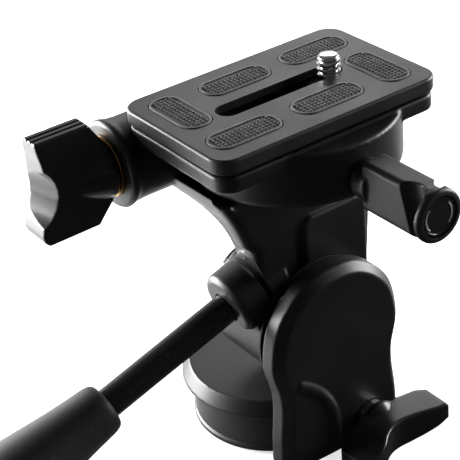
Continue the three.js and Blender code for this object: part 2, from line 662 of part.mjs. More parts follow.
// Platform: the cup, the bed under the plate and the hub of the side tilt
const bed = { width: 44, length: 69, corner: 5, top: -5, bottom: -9.4 };
const jaw = { gap: 1.1, bottom: -19.2, width: 30, thickness: 4.6, travel: 2, wall: 0.5, room: 0.6, lip: 1.6 };
const pocket = { gap: 0.5, freeSide: 2.5 };
const pocketDepth = -tenon.depth - pocket.gap;
const pocketEnd = tenon.length / 2 + pocket.gap;
const pocketSide = tenon.bottom + pocket.freeSide;
const releaseAxis = { y: cup.centreY, z: -15.4 };
const jawGrip = 0.9;                             // from the dovetail's top edge to the jaw
const jawNear = tenon.top + jawGrip;
const jawFar = jawNear + jaw.thickness + jaw.room;
const jawPocketFar = jawFar + jaw.travel + jaw.wall;
const jawPocketNear = jawNear - jaw.lip - 2 * jaw.gap / 3;
const jawStart = releaseAxis.y - jaw.width / 2;
const jawEnd = releaseAxis.y + jaw.width / 2;
const releaseScrew = { radius: 3, flange: 5, flangeLength: 1.2, tip: 1.2 };
const releaseBore = releaseScrew.radius + clearance;
const clipSeat = jawPocketFar + clearance;
const clipEnd = clipSeat + releaseScrew.flangeLength;
const knobStart = cup.radius + clearance;
const releaseAt = [0, releaseAxis.y, releaseAxis.z];
const sideAt = [sideAxis.x, 0, sideAxis.z];

const fixedSide = polygon([
  [-tenon.top - clearance, bed.top + overrun],
  [-tenon.top - clearance, -plate.thickness],
  [-tenon.bottom - clearance, -tenon.depth],
  [-tenon.bottom - clearance, pocketDepth],
  [pocketSide, pocketDepth],
  [pocketSide, bed.top + overrun],
]);
const cupBody = turned('z', [
  [0, -cup.depth],
  [cup.radius - cup.edge, -cup.depth],
  [cup.radius - cup.edge / 3, -cup.depth + cup.edge / 3],
  [cup.radius, -cup.depth + cup.edge],
  [cup.radius, -cup.rim - cup.rimEdge],
  [cup.radius - cup.rimEdge, -cup.rim],
  [0, -cup.rim],
], [0, cup.centreY, 0]);
const bedOutline = roundedRectangle(-bed.width / 2, -bed.length / 2,
  bed.width / 2, bed.length / 2, bed.corner);
const sideTiltHub = rod('y', hub.radius, barrel.front + clearance, hub.front, sideAt);
const platformBody = cut(
  joined(cupBody, prism('z', bedOutline, bed.bottom, bed.top, clearance)),
  rod('y', barrel.radius + 2 * clearance, -plate.length / 2 - overrun, barrel.front + clearance, sideAt),
  prism('y', rectangle(-cup.radius - overrun, -cup.depth - overrun, sideAxis.x, -cup.rim + overrun),
    -plate.length / 2, barrel.front + clearance),
);
const platform = cut(
  joined(platformBody, sideTiltHub),
  rod('y', sideBore, barrel.front - overrun, hub.front + overrun, sideAt),
  rod('y', sideShaft.headRadius + 2 * clearance, hub.front, plate.length / 2, sideAt),
  prism('y', fixedSide, -pocketEnd, pocketEnd),
  prism('y', rectangle(jawPocketNear, jaw.bottom - clearance, jawPocketFar, bed.top + overrun),
    jawStart - clearance, jawEnd + clearance),
  rod('x', releaseBore, jawFar, cup.radius + overrun, releaseAt),
  rod('x', releaseScrew.flange + clearance, jawFar, clipEnd + clearance, releaseAt),
);
part('platform', platform, finishes.casting(), top);

// Clamp jaw: slides along X and closes on the dovetail
const jawTop = -plate.thickness - jaw.gap;
const jawSide = polygon([
  [tenon.top + overrun, jawTop],
  [tenon.bottom + clearance, -tenon.depth],
  [tenon.bottom + clearance, pocketDepth - clearance],
  [jawNear - jaw.lip, pocketDepth - clearance],
  [jawNear - jaw.lip, jaw.bottom],
  [jawFar, jaw.bottom],
  [jawFar, jawTop],
]);
part('release_clip', ring('x', releaseBore, releaseScrew.flange, clipSeat, clipEnd, releaseAt),
  finishes.steel(), top);
part('clamp_jaw', cut(
  prism('y', jawSide, jawStart, jawEnd),
  rod('x', releaseBore, jawNear - 3 * overrun, jawFar + overrun, releaseAt),
), finishes.steel(), top);

// Release knob and its screw
const releaseGroup = new THREE.Group();
releaseGroup.position.set(...releaseAt);
releaseGroup.rotation.y = Math.PI / 2;
top.add(releaseGroup);
part('release_screw', rod('z', releaseScrew.radius, jawNear - releaseScrew.tip,
  knobStart + paddle.length * paddle.boreDepthShare - clearance), finishes.steel(), releaseGroup);
part('release_knob', paddleKnob(releaseScrew.radius), finishes.plastic(), releaseGroup)
  .position.z = knobStart;
part('release_cap', paddleCap(), finishes.plastic(), releaseGroup).position.z = knobStart;

export default head;
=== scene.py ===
import math

import bmesh
import bpy
from mathutils import Matrix, Vector


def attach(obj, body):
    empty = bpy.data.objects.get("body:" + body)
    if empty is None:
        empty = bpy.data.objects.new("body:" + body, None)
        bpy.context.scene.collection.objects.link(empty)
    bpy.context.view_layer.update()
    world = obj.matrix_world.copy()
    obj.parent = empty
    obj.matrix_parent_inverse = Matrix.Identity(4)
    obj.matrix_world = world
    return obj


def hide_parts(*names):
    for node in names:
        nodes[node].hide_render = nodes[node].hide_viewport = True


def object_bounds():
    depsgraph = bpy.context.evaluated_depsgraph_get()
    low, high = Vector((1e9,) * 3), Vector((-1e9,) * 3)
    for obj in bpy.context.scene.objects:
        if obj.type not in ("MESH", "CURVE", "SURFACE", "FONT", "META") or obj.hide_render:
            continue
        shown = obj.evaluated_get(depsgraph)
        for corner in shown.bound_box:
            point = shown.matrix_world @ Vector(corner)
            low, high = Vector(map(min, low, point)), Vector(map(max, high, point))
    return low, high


# A three way pan tilt head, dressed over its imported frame. Shapes are drawn in millimetres in
# the head's own frame and scaled to metres when they become objects.

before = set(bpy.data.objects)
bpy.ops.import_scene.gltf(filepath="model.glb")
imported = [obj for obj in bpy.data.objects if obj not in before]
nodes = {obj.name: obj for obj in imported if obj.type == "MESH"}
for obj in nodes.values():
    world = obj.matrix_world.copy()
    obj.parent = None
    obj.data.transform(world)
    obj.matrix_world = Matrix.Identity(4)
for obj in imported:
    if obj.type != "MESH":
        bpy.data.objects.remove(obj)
cadLow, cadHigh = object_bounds()
mm = 0.001

datum = {  # where the frame has its axes, mm
    "tiltAxisZ": 40.5,
    "plateCentre": (13.5, 0, 108),
    "sideAxis": (-11, 91.3),  # X and Z of the side tilt's axis, along Y
    "handleRoot": (14.3, -15, 54.2),
    "handleDrop": 0.295,  # radians below level
    "releaseAxis": (3.5, 92.6),  # Y and Z, along X
    "lockAxis": (9, 9.8),  # Y and Z, along X
}
tiltZ = datum["tiltAxisZ"]
sideX, sideZ = datum["sideAxis"]
plateX, plateY, plateZ = datum["plateCentre"]


# Camera, as the photograph was taken
camera = {
    "place": (0.2929, -0.2034, 0.2758),
    "turn": (58.793, 4.508, 53.891),
    "lens": 117.1,
    "sensor": 36,
    "near": 0.01,
}
cameraData = bpy.data.cameras.new("camera")
cameraData.lens = camera["lens"]
cameraData.sensor_width = camera["sensor"]
cameraData.clip_start = camera["near"]
cameraObject = bpy.data.objects.new("camera", cameraData)
cameraObject.location = camera["place"]
cameraObject.rotation_euler = [math.radians(degrees) for degrees in camera["turn"]]
bpy.context.scene.collection.objects.link(cameraObject)
bpy.context.scene.camera = cameraObject
print("camera placed")


# Nodes: a value is another node's socket or a constant

def feed(tree, value, socket):
    if isinstance(value, bpy.types.NodeSocket):
        tree.links.new(value, socket)
    else:
        socket.default_value = value


def mathNode(tree, operation, first, second):
    node = tree.nodes.new("ShaderNodeMath")
    node.operation = operation
    for socket, value in zip(node.inputs, (first, second)):
        feed(tree, value, socket)
    return node.outputs[0]


def dotNode(tree, first, second):
    node = tree.nodes.new("ShaderNodeVectorMath")
    node.operation = "DOT_PRODUCT"
    for socket, value in zip(node.inputs, (first, second)):
        feed(tree, value, socket)
    return node.outputs["Value"]


def axisNode(tree, vector, axis):
    node = tree.nodes.new("ShaderNodeSeparateXYZ")
    tree.links.new(vector, node.inputs[0])
    return node.outputs[axis]


def noiseNode(tree, vector, scale, detail=3, rough=0.55):
    node = tree.nodes.new("ShaderNodeTexNoise")
    tree.links.new(vector, node.inputs["Vector"])
    for title, value in (("Scale", scale), ("Detail", detail), ("Roughness", rough)):
        feed(tree, value, node.inputs[title])
    return node.outputs["Fac"]


def rangeNode(tree, value, fromLow, fromHigh, toLow=0, toHigh=1):
    node = tree.nodes.new("ShaderNodeMapRange")
    limits = {"From Min": fromLow, "From Max": fromHigh, "To Min": toLow, "To Max": toHigh}
    for title, limit in limits.items():
        node.inputs[title].default_value = limit
    tree.links.new(value, node.inputs["Value"])
    return node.outputs[0]


def mixColor(tree, factor, first, second):
    node = tree.nodes.new("ShaderNodeMix")
    node.data_type = "RGBA"
    feed(tree, factor, node.inputs[0])
    for socket, color in ((node.inputs[6], first), (node.inputs[7], second)):
        feed(tree, color if isinstance(color, bpy.types.NodeSocket) else (*color, 1), socket)
    return node.outputs[2]


# Node groups that all finishes share

def newGroup(name, inputs, outputs):
    group = bpy.data.node_groups.new(name, "ShaderNodeTree")
    for title, kind, value in inputs:
        socket = group.interface.new_socket(title, in_out="INPUT", socket_type=kind)
        socket.default_value = value
    for title in outputs:
        group.interface.new_socket(title, in_out="OUTPUT", socket_type="NodeSocketFloat")
    return group, group.nodes.new("NodeGroupInput"), group.nodes.new("NodeGroupOutput")


# Fine pebbled grain of cast and moulded surfaces: a height and a slow patchiness
patching = {"scale": 55, "detail": 4}
grain, grainIn, grainOut = newGroup(
    "grain",
    [("Vector", "NodeSocketVector", (0, 0, 0)), ("Scale", "NodeSocketFloat", 2500)],
    ["Height", "Patches"],
)
pebbles = grain.nodes.new("ShaderNodeTexVoronoi")
pebbles.feature = "SMOOTH_F1"
for title in ("Vector", "Scale"):
    grain.links.new(grainIn.outputs[title], pebbles.inputs[title])
fineHeight = noiseNode(grain, grainIn.outputs["Vector"], grainIn.outputs["Scale"])
height = mathNode(grain, "ADD", pebbles.outputs["Distance"], fineHeight)
grain.links.new(height, grainOut.inputs["Height"])
patches = noiseNode(grain, grainIn.outputs["Vector"], patching["scale"], patching["detail"])
grain.links.new(patches, grainOut.inputs["Patches"])

# Rubbed edges and dust: masks from the rounded normal and from a broken noise
wearing = {
    "samples": 4,
    "edges": (0.995, 0.9),  # how far the rounded normal leans away from the face's own
    "breaks": {"scale": 420, "detail": 5, "between": (0.42, 0.62)},
    "specks": {"scale": 900, "detail": 6, "between": (0.6, 0.75)},
}
wear, wearIn, wearOut = newGroup(
    "wear",
    [("Vector", "NodeSocketVector", (0, 0, 0)), ("Edge", "NodeSocketFloat", 0.0006)],
    ["Rubbed", "Dust"],
)
rounded = wear.nodes.new("ShaderNodeBevel")
rounded.samples = wearing["samples"]
wear.links.new(wearIn.outputs["Edge"], rounded.inputs["Radius"])
surface = wear.nodes.new("ShaderNodeNewGeometry")
facing = dotNode(wear, rounded.outputs["Normal"], surface.outputs["Normal"])
edges = rangeNode(wear, facing, *wearing["edges"])
breaks, specks = (
    rangeNode(wear, noiseNode(wear, wearIn.outputs["Vector"], spots["scale"], spots["detail"]),
              *spots["between"])
    for spots in (wearing["breaks"], wearing["specks"])
)
wear.links.new(mathNode(wear, "MULTIPLY", edges, breaks), wearOut.inputs["Rubbed"])
wear.links.new(specks, wearOut.inputs["Dust"])


# Finishes: patch is the colour of the lighter patches and rubbed that of worn edges, edge and
# depth are millimetres, and these values hold where a finish gives none of its own
plain = {"metal": 0, "specular": 0.5, "edge": 0.5, "bump": 0.35}
dustColor = (0.35, 0.34, 0.32)
patchEdges = {"color": (0.35, 0.65), "rough": (0.3, 0.7)}


def groupNode(tree, group, vector):
    node = tree.nodes.new("ShaderNodeGroup")
    node.node_tree = group
    tree.links.new(vector, node.inputs["Vector"])
    return node


def newFinish(name, look):
    look = plain | look
    material = bpy.data.materials.new(name)
    material.use_nodes = True
    tree = material.node_tree
    shader = tree.nodes["Principled BSDF"]
    place = tree.nodes.new("ShaderNodeTexCoord").outputs["Object"]
    fine = groupNode(tree, grain, place)
    fine.inputs["Scale"].default_value = look["grain"]
    marks = groupNode(tree, wear, place)
    marks.inputs["Edge"].default_value = look["edge"] * mm
    spread = rangeNode(tree, fine.outputs["Patches"], *patchEdges["color"])
    base = mixColor(tree, spread, look["color"], look["patch"])
    rubbed = mathNode(tree, "MULTIPLY", marks.outputs["Rubbed"], look["wear"])
    worn = mixColor(tree, rubbed, base, look["rubbed"])
    dust = mathNode(tree, "MULTIPLY", marks.outputs["Dust"], look["dust"])
    tree.links.new(mixColor(tree, dust, worn, dustColor), shader.inputs["Base Color"])
    rough = rangeNode(tree, fine.outputs["Patches"], *patchEdges["rough"], *look["rough"])
    tree.links.new(rough, shader.inputs["Roughness"])
    shader.inputs["Metallic"].default_value = look["metal"]
    shader.inputs["Specular IOR Level"].default_value = look["specular"]
    bump = tree.nodes.new("ShaderNodeBump")
    bump.inputs["Strength"].default_value = look["bump"]
    bump.inputs["Distance"].default_value = look["depth"] * mm
    tree.links.new(fine.outputs["Height"], bump.inputs["Height"])
    tree.links.new(bump.outputs["Normal"], shader.inputs["Normal"])
    return material


finishes = {
    "casting": newFinish("satin_black_casting", {
        "color": (0.0052, 0.0052, 0.0056), "patch": (0.0072, 0.0072, 0.0076),
        "rubbed": (0.05, 0.05, 0.05), "rough": (0.36, 0.44), "specular": 0.34,
        "grain": 2600, "depth": 0.035, "bump": 0.28, "wear": 0.3, "dust": 0.03,
    }),
    "plateTop": newFinish("warm_black_plate", {
        "color": (0.013, 0.0118, 0.0106), "patch": (0.0165, 0.015, 0.0136),
        "rubbed": (0.16, 0.155, 0.15), "rough": (0.36, 0.44), "specular": 0.28,
        "grain": 5200, "depth": 0.02, "bump": 0.2, "wear": 0.25, "dust": 0.05,
    }),
    "padRubber": newFinish("pad_rubber", {
        "color": (0.075, 0.075, 0.073), "patch": (0.095, 0.095, 0.093),
        "rubbed": (0.4, 0.4, 0.39), "rough": (0.45, 0.55),
        "grain": 4200, "depth": 0.02, "wear": 0.7, "dust": 0.1, "edge": 0.15,
    }),
    "plastic": newFinish("gloss_black_plastic", {
        "color": (0.006, 0.006, 0.0065), "patch": (0.008, 0.008, 0.0085),
        "rubbed": (0.05, 0.05, 0.05), "rough": (0.22, 0.28), "specular": 0.45,
        "grain": 3000, "depth": 0.012, "bump": 0.15, "wear": 0.15, "dust": 0.03,
    }),
    "knobGrey": newFinish("satin_grey_plastic", {
        "color": (0.009, 0.009, 0.0086), "patch": (0.013, 0.013, 0.0124),
        "rubbed": (0.08, 0.08, 0.08), "rough": (0.34, 0.42), "specular": 0.26,
        "grain": 3400, "depth": 0.02, "wear": 0.3, "dust": 0.04,
    }),
    "gripRubber": newFinish("grip_rubber", {
        "color": (0.010, 0.010, 0.0098), "patch": (0.015, 0.015, 0.0145),
        "rubbed": (0.05, 0.05, 0.048), "rough": (0.5, 0.6), "specular": 0.3,
        "grain": 1700, "depth": 0.07, "bump": 0.4, "wear": 0.2, "dust": 0.06,
    }),
    "rodBlack": newFinish("gloss_black_rod", {
        "color": (0.006, 0.006, 0.006), "patch": (0.008, 0.008, 0.008),
        "rubbed": (0.04, 0.04, 0.04), "rough": (0.2, 0.26), "specular": 0.35,
        "grain": 1500, "depth": 0.01, "bump": 0.1, "wear": 0.1, "dust": 0.03,
    }),
    "chrome": newFinish("bright_chrome", {
        "color": (0.66, 0.66, 0.65), "patch": (0.72, 0.72, 0.71),
        "rubbed": (0.8, 0.8, 0.8), "rough": (0.1, 0.16), "metal": 1,
        "grain": 4000, "depth": 0.005, "bump": 0.1, "wear": 0.1, "dust": 0,
    }),
    "steel": newFinish("turned_steel", {
        "color": (0.42, 0.42, 0.41), "patch": (0.5, 0.5, 0.49),
        "rubbed": (0.65, 0.65, 0.64), "rough": (0.26, 0.38), "metal": 1,
        "grain": 3000, "depth": 0.01, "bump": 0.2, "wear": 0.2, "dust": 0,
    }),
    "brass": newFinish("turned_brass", {
        "color": (0.42, 0.25, 0.075), "patch": (0.5, 0.31, 0.1),
        "rubbed": (0.7, 0.5, 0.22), "rough": (0.22, 0.34), "metal": 1,
        "grain": 3000, "depth": 0.01, "bump": 0.2, "wear": 0.2, "dust": 0,
    }),
    "nylon": newFinish("natural_nylon", {
        "color": (0.62, 0.58, 0.50), "patch": (0.7, 0.66, 0.58),
        "rubbed": (0.75, 0.72, 0.66), "rough": (0.4, 0.5),
        "grain": 2600, "depth": 0.02, "wear": 0.1, "dust": 0.05,
    }),
    "paint": newFinish("pale_paint", {
        "color": (0.4, 0.4, 0.4), "patch": (0.48, 0.48, 0.48),
        "rubbed": (0.2, 0.2, 0.2), "rough": (0.4, 0.5),
        "grain": 4000, "depth": 0.01, "wear": 0.4, "dust": 0.05,
    }),
    "linerBlack": newFinish("black_liner", {
        "color": (0.008, 0.008, 0.008), "patch": (0.011, 0.011, 0.011),
        "rubbed": (0.03, 0.03, 0.03), "rough": (0.5, 0.6), "specular": 0.2,
        "grain": 2600, "depth": 0.02, "wear": 0.1, "dust": 0.03,
    }),
}
print("finishes made")


# Modelling

merging = {"lathed": 1e-4, "curved": 1e-3}  # points closer than this become one


def lathe(profile, steps=96, closed=False):  # profile: radius and height pairs, turned about Z
    bm = bmesh.new()
    corners = [bm.verts.new((radius, 0, height)) for radius, height in profile]
    for pair in zip(corners, corners[1:] + corners[:1] if closed else corners[1:]):
        bm.edges.new(pair)
    bmesh.ops.spin(bm, geom=bm.verts[:] + bm.edges[:], cent=(0, 0, 0), axis=(0, 0, 1),
                   angle=2 * math.pi, steps=steps, use_merge=True)
    bmesh.ops.remove_doubles(bm, verts=bm.verts[:], dist=merging["lathed"])
    bmesh.ops.recalc_face_normals(bm, faces=bm.faces[:])
    return bm


def cylinder(radius, low, high, steps=96):  # the dictionaries give bores in this order
    return lathe([(0, low), (radius, low), (radius, high), (0, high)], steps)


def ringArc(radius, thickness, sweep, sides, steps, height=0, turn=0):  # a bent round bar
    bm = bmesh.new()
    stand = Matrix.Translation((radius, 0, height)) @ Matrix.Rotation(math.pi / 2, 4, "X")
    bmesh.ops.create_circle(bm, cap_ends=True, segments=sides, radius=thickness / 2, matrix=stand)
    first, last = (math.radians(degrees) + turn for degrees in sweep)
    bmesh.ops.rotate(bm, verts=bm.verts[:], cent=(0, 0, 0), matrix=Matrix.Rotation(first, 3, "Z"))
    bmesh.ops.spin(bm, geom=bm.verts[:] + bm.edges[:] + bm.faces[:], cent=(0, 0, 0),
                   axis=(0, 0, 1), angle=last - first, steps=steps)
    bmesh.ops.recalc_face_normals(bm, faces=bm.faces[:])
    return bm


def slab(points, height):  # an outline in X and Y, pushed up along Z
    bm = bmesh.new()
    face = bm.faces.new([bm.verts.new((x, y, 0)) for x, y in points])
    pushed = bmesh.ops.extrude_face_region(bm, geom=[face])["geom"]
    raised = [item for item in pushed if isinstance(item, bmesh.types.BMVert)]
    bmesh.ops.translate(bm, verts=raised, vec=(0, 0, height))
    bmesh.ops.recalc_face_normals(bm, faces=bm.faces[:])
    return bm


def bevelEdges(bm, edges, width, segments):
    bmesh.ops.bevel(bm, geom=edges, offset=width, offset_type="OFFSET", affect="EDGES",
                    segments=segments, profile=0.5, material=-1, clamp_overlap=True)


def roundUprights(bm, radius, segments=10, upright=0.999):  # the edges that run along Z
    ways = [(edge, (edge.verts[0].co - edge.verts[1].co).normalized()) for edge in bm.edges]
    bevelEdges(bm, [edge for edge, way in ways if abs(way.z) > upright], radius, segments)


def roundRims(bm, width, segments=3, degrees=30):
    limit = math.radians(degrees)
    sharp = [e for e in bm.edges if len(e.link_faces) == 2 and e.calc_face_angle(0) > limit]
    bevelEdges(bm, sharp, width, segments)


def block(low, high, corner=0, rim=0, cornerSteps=10, rimSteps=3):
    (x0, y0, z0), (x1, y1, z1) = low, high
    bm = slab([(x0, y0), (x1, y0), (x1, y1), (x0, y1)], z1 - z0)
    if corner:
        roundUprights(bm, corner, cornerSteps)
    if rim:
        roundRims(bm, rim, rimSteps)
    bmesh.ops.translate(bm, verts=bm.verts[:], vec=(0, 0, z0))
    return bm


def shownMesh(piece):  # the mesh that the piece's curve or modifiers make
    bpy.context.view_layer.update()
    return bpy.data.meshes.new_from_object(
        piece.evaluated_get(bpy.context.evaluated_depsgraph_get()))


def curveSlab(knots, height, rim=0, smoothness=10, steps=3):
    # knots: x, y and the handle kind, "AUTO" for a smooth point or "VECTOR" for a corner
    curve = bpy.data.curves.new("outline", "CURVE")
    curve.dimensions = "2D"
    curve.fill_mode = "BOTH"
    curve.extrude = height / 2 - rim
    curve.bevel_depth = rim
    curve.bevel_resolution = steps
    curve.offset = -rim
    spline = curve.splines.new("BEZIER")
    spline.bezier_points.add(len(knots) - 1)
    spline.use_cyclic_u = True
    spline.resolution_u = smoothness
    for point, (x, y, kind) in zip(spline.bezier_points, knots):
        point.co = (x, y, 0)
        point.handle_left_type = point.handle_right_type = kind
    holder = bpy.data.objects.new("outline", curve)
    bpy.context.scene.collection.objects.link(holder)
    mesh = shownMesh(holder)
    bpy.data.objects.remove(holder)
    bm = bmesh.new()
    bm.from_mesh(mesh)
    bpy.data.meshes.remove(mesh)
    bmesh.ops.remove_doubles(bm, verts=bm.verts[:], dist=merging["curved"])
    bmesh.ops.recalc_face_normals(bm, faces=bm.faces[:])
    bmesh.ops.translate(bm, verts=bm.verts[:], vec=(0, 0, height / 2))
    return bm


def moved(bm, matrix):
    bmesh.ops.transform(bm, matrix=matrix, verts=bm.verts[:])
    return bm


def shifted(bm, x=0, y=0, z=0):
    return moved(bm, Matrix.Translation((x, y, z)))


def alongX(bm, x=0, y=0, z=0):  # the body's Z goes to X, its X to Y and its Y to Z
    turn = Matrix(((0, 0, 1), (1, 0, 0), (0, 1, 0))).to_4x4()
    return moved(bm, Matrix.Translation((x, y, z)) @ turn)


def alongY(bm, x=0, y=0, z=0):  # the body's Z goes to -Y, its X stays and its Y goes to Z
    return moved(bm, Matrix.Translation((x, y, z)) @ Matrix.Rotation(math.pi / 2, 4, "X"))


def alongHandle(bm):
    turn = Matrix.Rotation(math.pi / 2 + datum["handleDrop"], 4, "X")
    return moved(bm, Matrix.Translation(datum["handleRoot"]) @ turn)


def union(*bodies):  # shells side by side in one mesh, which a remesh makes one skin
    whole = bmesh.new()
    for body in bodies:
        mesh = bpy.data.meshes.new("body")
        body.to_mesh(mesh)
        whole.from_mesh(mesh)
        bpy.data.meshes.remove(mesh)
        body.free()
    return whole


def asObject(name, bm):
    mesh = bpy.data.meshes.new(name)
    bm.to_mesh(mesh)
    bm.free()
    mesh.transform(Matrix.Scale(mm, 4))
    piece = bpy.data.objects.new(name, mesh)
    bpy.context.scene.collection.objects.link(piece)
    return piece


def asBody(piece):  # an object back to a body in millimetres
    bm = bmesh.new()
    bm.from_mesh(piece.data)
    bmesh.ops.scale(bm, verts=bm.verts[:], vec=(1 / mm,) * 3)
    bpy.data.objects.remove(piece)
    return bm


def applied(piece):
    mesh = shownMesh(piece)
    piece.modifiers.clear()
    old = piece.data
    piece.data = mesh
    mesh.name = piece.name
    bpy.data.meshes.remove(old)
    return piece


def cast(name, bm, skin, soften, blend=0.5):  # one soft-edged skin round the bodies, as cast
    piece = asObject(name, bm)
    shell = piece.modifiers.new("skin", "REMESH")
    shell.mode = "VOXEL"
    shell.voxel_size = skin * mm
    polish = piece.modifiers.new("soften", "SMOOTH")
    polish.factor = blend
    polish.iterations = soften
    return applied(piece)


def carved(piece, *tools, operation="DIFFERENCE"):
    for index, bm in enumerate(tools):
        tool = asObject("tool", bm)
        cutter = piece.modifiers.new(f"cut{index}", "BOOLEAN")
        cutter.operation = operation
        cutter.solver = "MANIFOLD"
        cutter.object = tool
        applied(piece)
        bpy.data.objects.remove(tool)
    return piece


def weighted(piece):  # keeps flat faces flat beside their rounded rims
    modifier = piece.modifiers.new("flats", "WEIGHTED_NORMAL")
    modifier.keep_sharp = True
    return piece


def finishPiece(piece, body, finish, slot, *stands, crease=38):  # stands: the nodes it stands for
    piece.data.materials.clear()
    piece.data.materials.append(finishes[finish])
    for face in piece.data.polygons:
        face.use_smooth = True
    piece.data.set_sharp_from_angle(angle=math.radians(crease))
    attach(piece, body)
    if stands:
        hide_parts(*stands)


# Foot, which carries the pan scale; the scale itself is not drawn

foot = {
    "radius": 24, "height": 13.2, "rim": 0.5, "soft": 0.25,
    "lipChamfer": 0.55, "lipTop": 1.7, "bandStart": 2.2, "bandDepth": 0.7,
    "hole": 9.5, "web": 8, "chamber": 8.2, "chamberTop": 11, "bore": 4.6,
}
band = foot["radius"] - foot["bandDepth"]
footBody = lathe([
    (foot["hole"], 0), (foot["radius"] - foot["lipChamfer"], 0),
    (foot["radius"], foot["lipChamfer"]), (foot["radius"], foot["lipTop"]),
    (band, foot["bandStart"]), (band, foot["height"] - foot["rim"]),
    (band - foot["rim"], foot["height"]), (foot["bore"], foot["height"]),
    (foot["bore"], foot["chamberTop"]), (foot["chamber"], foot["chamberTop"]),
    (foot["chamber"], foot["web"]), (foot["hole"], foot["web"]),
], steps=144, closed=True)
roundRims(footBody, foot["soft"], segments=2)
footPiece = weighted(asObject("foot_with_scale", footBody))
finishPiece(footPiece, "base", "casting", "casting", "pan_base")
print("foot made")


# Pan disc and arm, one casting

disc = {
    "radius": 26.5, "face": 24, "bottom": 13.6, "top": 18.5, "cone": 3.9, "rim": 0.5,
    "recess": 20.3, "recessDepth": 1.2,
    "spigot": (4.3, 0, 6, 48), "spigotAt": 11.1,
    "screwBore": (3.3, 0, 7, 48), "screwBoreAt": 10.3,
}
arm = {
    "inner": 24.5, "outer": 33.5, "rim": 2.4, "skin": 0.42, "soften": 2,
    "outline": [  # Y and height, the +Y half from the top down
        (0, 62.1, "AUTO"), (15.27, 55.77, "AUTO"), (21.6, 40.5, "AUTO"), (19.5, 27, "AUTO"),
        (20.6, 10, "AUTO"), (20.3, 4.5, "AUTO"), (17.8, 2.5, "AUTO"),
    ],
    "ridge": {"centre": (-25.5, 12), "radius": 22.3, "thickness": 5.2, "height": 0.75,
              "sweep": (-12, 62)},
    "axleBore": (4.3, 0, 7.5, 64), "lockBore": (2.8, 0, 11, 48), "boreStart": 23.5,
}
half = arm["outline"]
fullOutline = half + [(-y, z, kind) for y, z, kind in reversed(half[1:])]
armPlate = curveSlab(fullOutline, arm["outer"] - arm["inner"], arm["rim"],
                     smoothness=16, steps=0)  # no steps leave its rim a flat chamfer
armBody = alongX(armPlate, arm["inner"])
shoulder = disc["bottom"] + disc["recessDepth"]
discBody = lathe([
    (0, shoulder), (disc["recess"], shoulder), (disc["recess"], disc["bottom"]),
    (disc["radius"] - disc["rim"], disc["bottom"]),
    (disc["radius"], disc["bottom"] + disc["rim"]), (disc["radius"], disc["top"] - disc["cone"]),
    (disc["face"], disc["top"]), (0, disc["top"]),
], steps=144)
spigotBody = shifted(cylinder(*disc["spigot"]), z=disc["spigotAt"])
ridge = arm["ridge"]
ridgeBody = alongX(
    ringArc(ridge["radius"], ridge["thickness"], ridge["sweep"], sides=24, steps=40),
    arm["outer"] + ridge["height"] - ridge["thickness"] / 2, *ridge["centre"])
yoke = cast("pan_arm_casting", union(armBody, discBody, spigotBody, ridgeBody),
            arm["skin"], arm["soften"])
carved(yoke,
       alongX(cylinder(*arm["axleBore"]), arm["boreStart"], 0, tiltZ),
       alongX(cylinder(*arm["lockBore"]), arm["boreStart"], *datum["lockAxis"]),
       shifted(cylinder(*disc["screwBore"]), z=disc["screwBoreAt"]))
finishPiece(yoke, "pan", "casting", "casting", "pan_yoke")
print("pan disc and arm made")


# Tilt casting: split sleeve, neck, goose neck and side tilt barrel. Its outlines give heights
# above the tilt axis.

neck = {
    "inner": 14.3, "face": 21.9, "rim": 2.6, "skin": 0.45, "soften": 6,
    "side": [  # Y and height
        (20.3, 0, "VECTOR"), (20.3, 42, "AUTO"), (16.5, 45.5, "VECTOR"), (-26.5, 45.5, "VECTOR"),
        (-22.6, 38, "AUTO"), (-19.6, 30.5, "VECTOR"), (-17.4, 28.6, "VECTOR"),
        (-17.4, 20, "VECTOR"), (-13, 0, "VECTOR"),
    ],
    "core": {"low": (5.5, -9, 0), "high": (20, 20.3, 45.5), "rim": 2},
    "pad": {"low": (-2.4, 2, 0), "high": (18.9, 33.5, 3), "corner": 3, "rim": 0.6},
    "padStart": 20.3,
    "ear": [(-19.1, 9), (-19.1, 7.2), (-12.9, -7.6), (-10, -4), (-10, 9)],  # Y and height
    "earStart": 16.3, "earThickness": 5.6,
}
neckPlate = curveSlab(neck["side"], neck["face"] - neck["inner"], neck["rim"], smoothness=14)
neckBodies = [
    alongX(neckPlate, neck["inner"], 0, tiltZ),
    shifted(block(**neck["core"]), z=tiltZ),
    alongX(block(**neck["pad"]), neck["padStart"], 0, tiltZ),
]

goose = {  # where its front outline and its side outline overlap
    "front": [  # X and height
        (21, 45.6, "VECTOR"), (-11, 45.6, "VECTOR"), (-19.2, 47, "VECTOR"), (-15.5, 40, "AUTO"),
        (-4.5, 35.5, "AUTO"), (3.5, 29, "AUTO"), (6, 18, "VECTOR"), (21, 18, "VECTOR"),
    ],
    "side": [  # Y and height
        (7.3, 46.5, "VECTOR"), (-26, 46.5, "VECTOR"), (-23, 40.5, "AUTO"), (-17.5, 33, "AUTO"),
        (-12, 18, "VECTOR"), (7.3, 18, "VECTOR"),
    ],
    "reach": 60, "frontStart": 20, "sideStart": -35,
}
gooseFront, gooseSide = (
    curveSlab(goose[view], goose["reach"], smoothness=20) for view in ("front", "side"))
alongY(gooseFront, 0, goose["frontStart"], tiltZ)
alongX(gooseSide, goose["sideStart"], 0, tiltZ)
gooseShape = carved(asObject("goose", gooseFront), gooseSide, operation="INTERSECT")

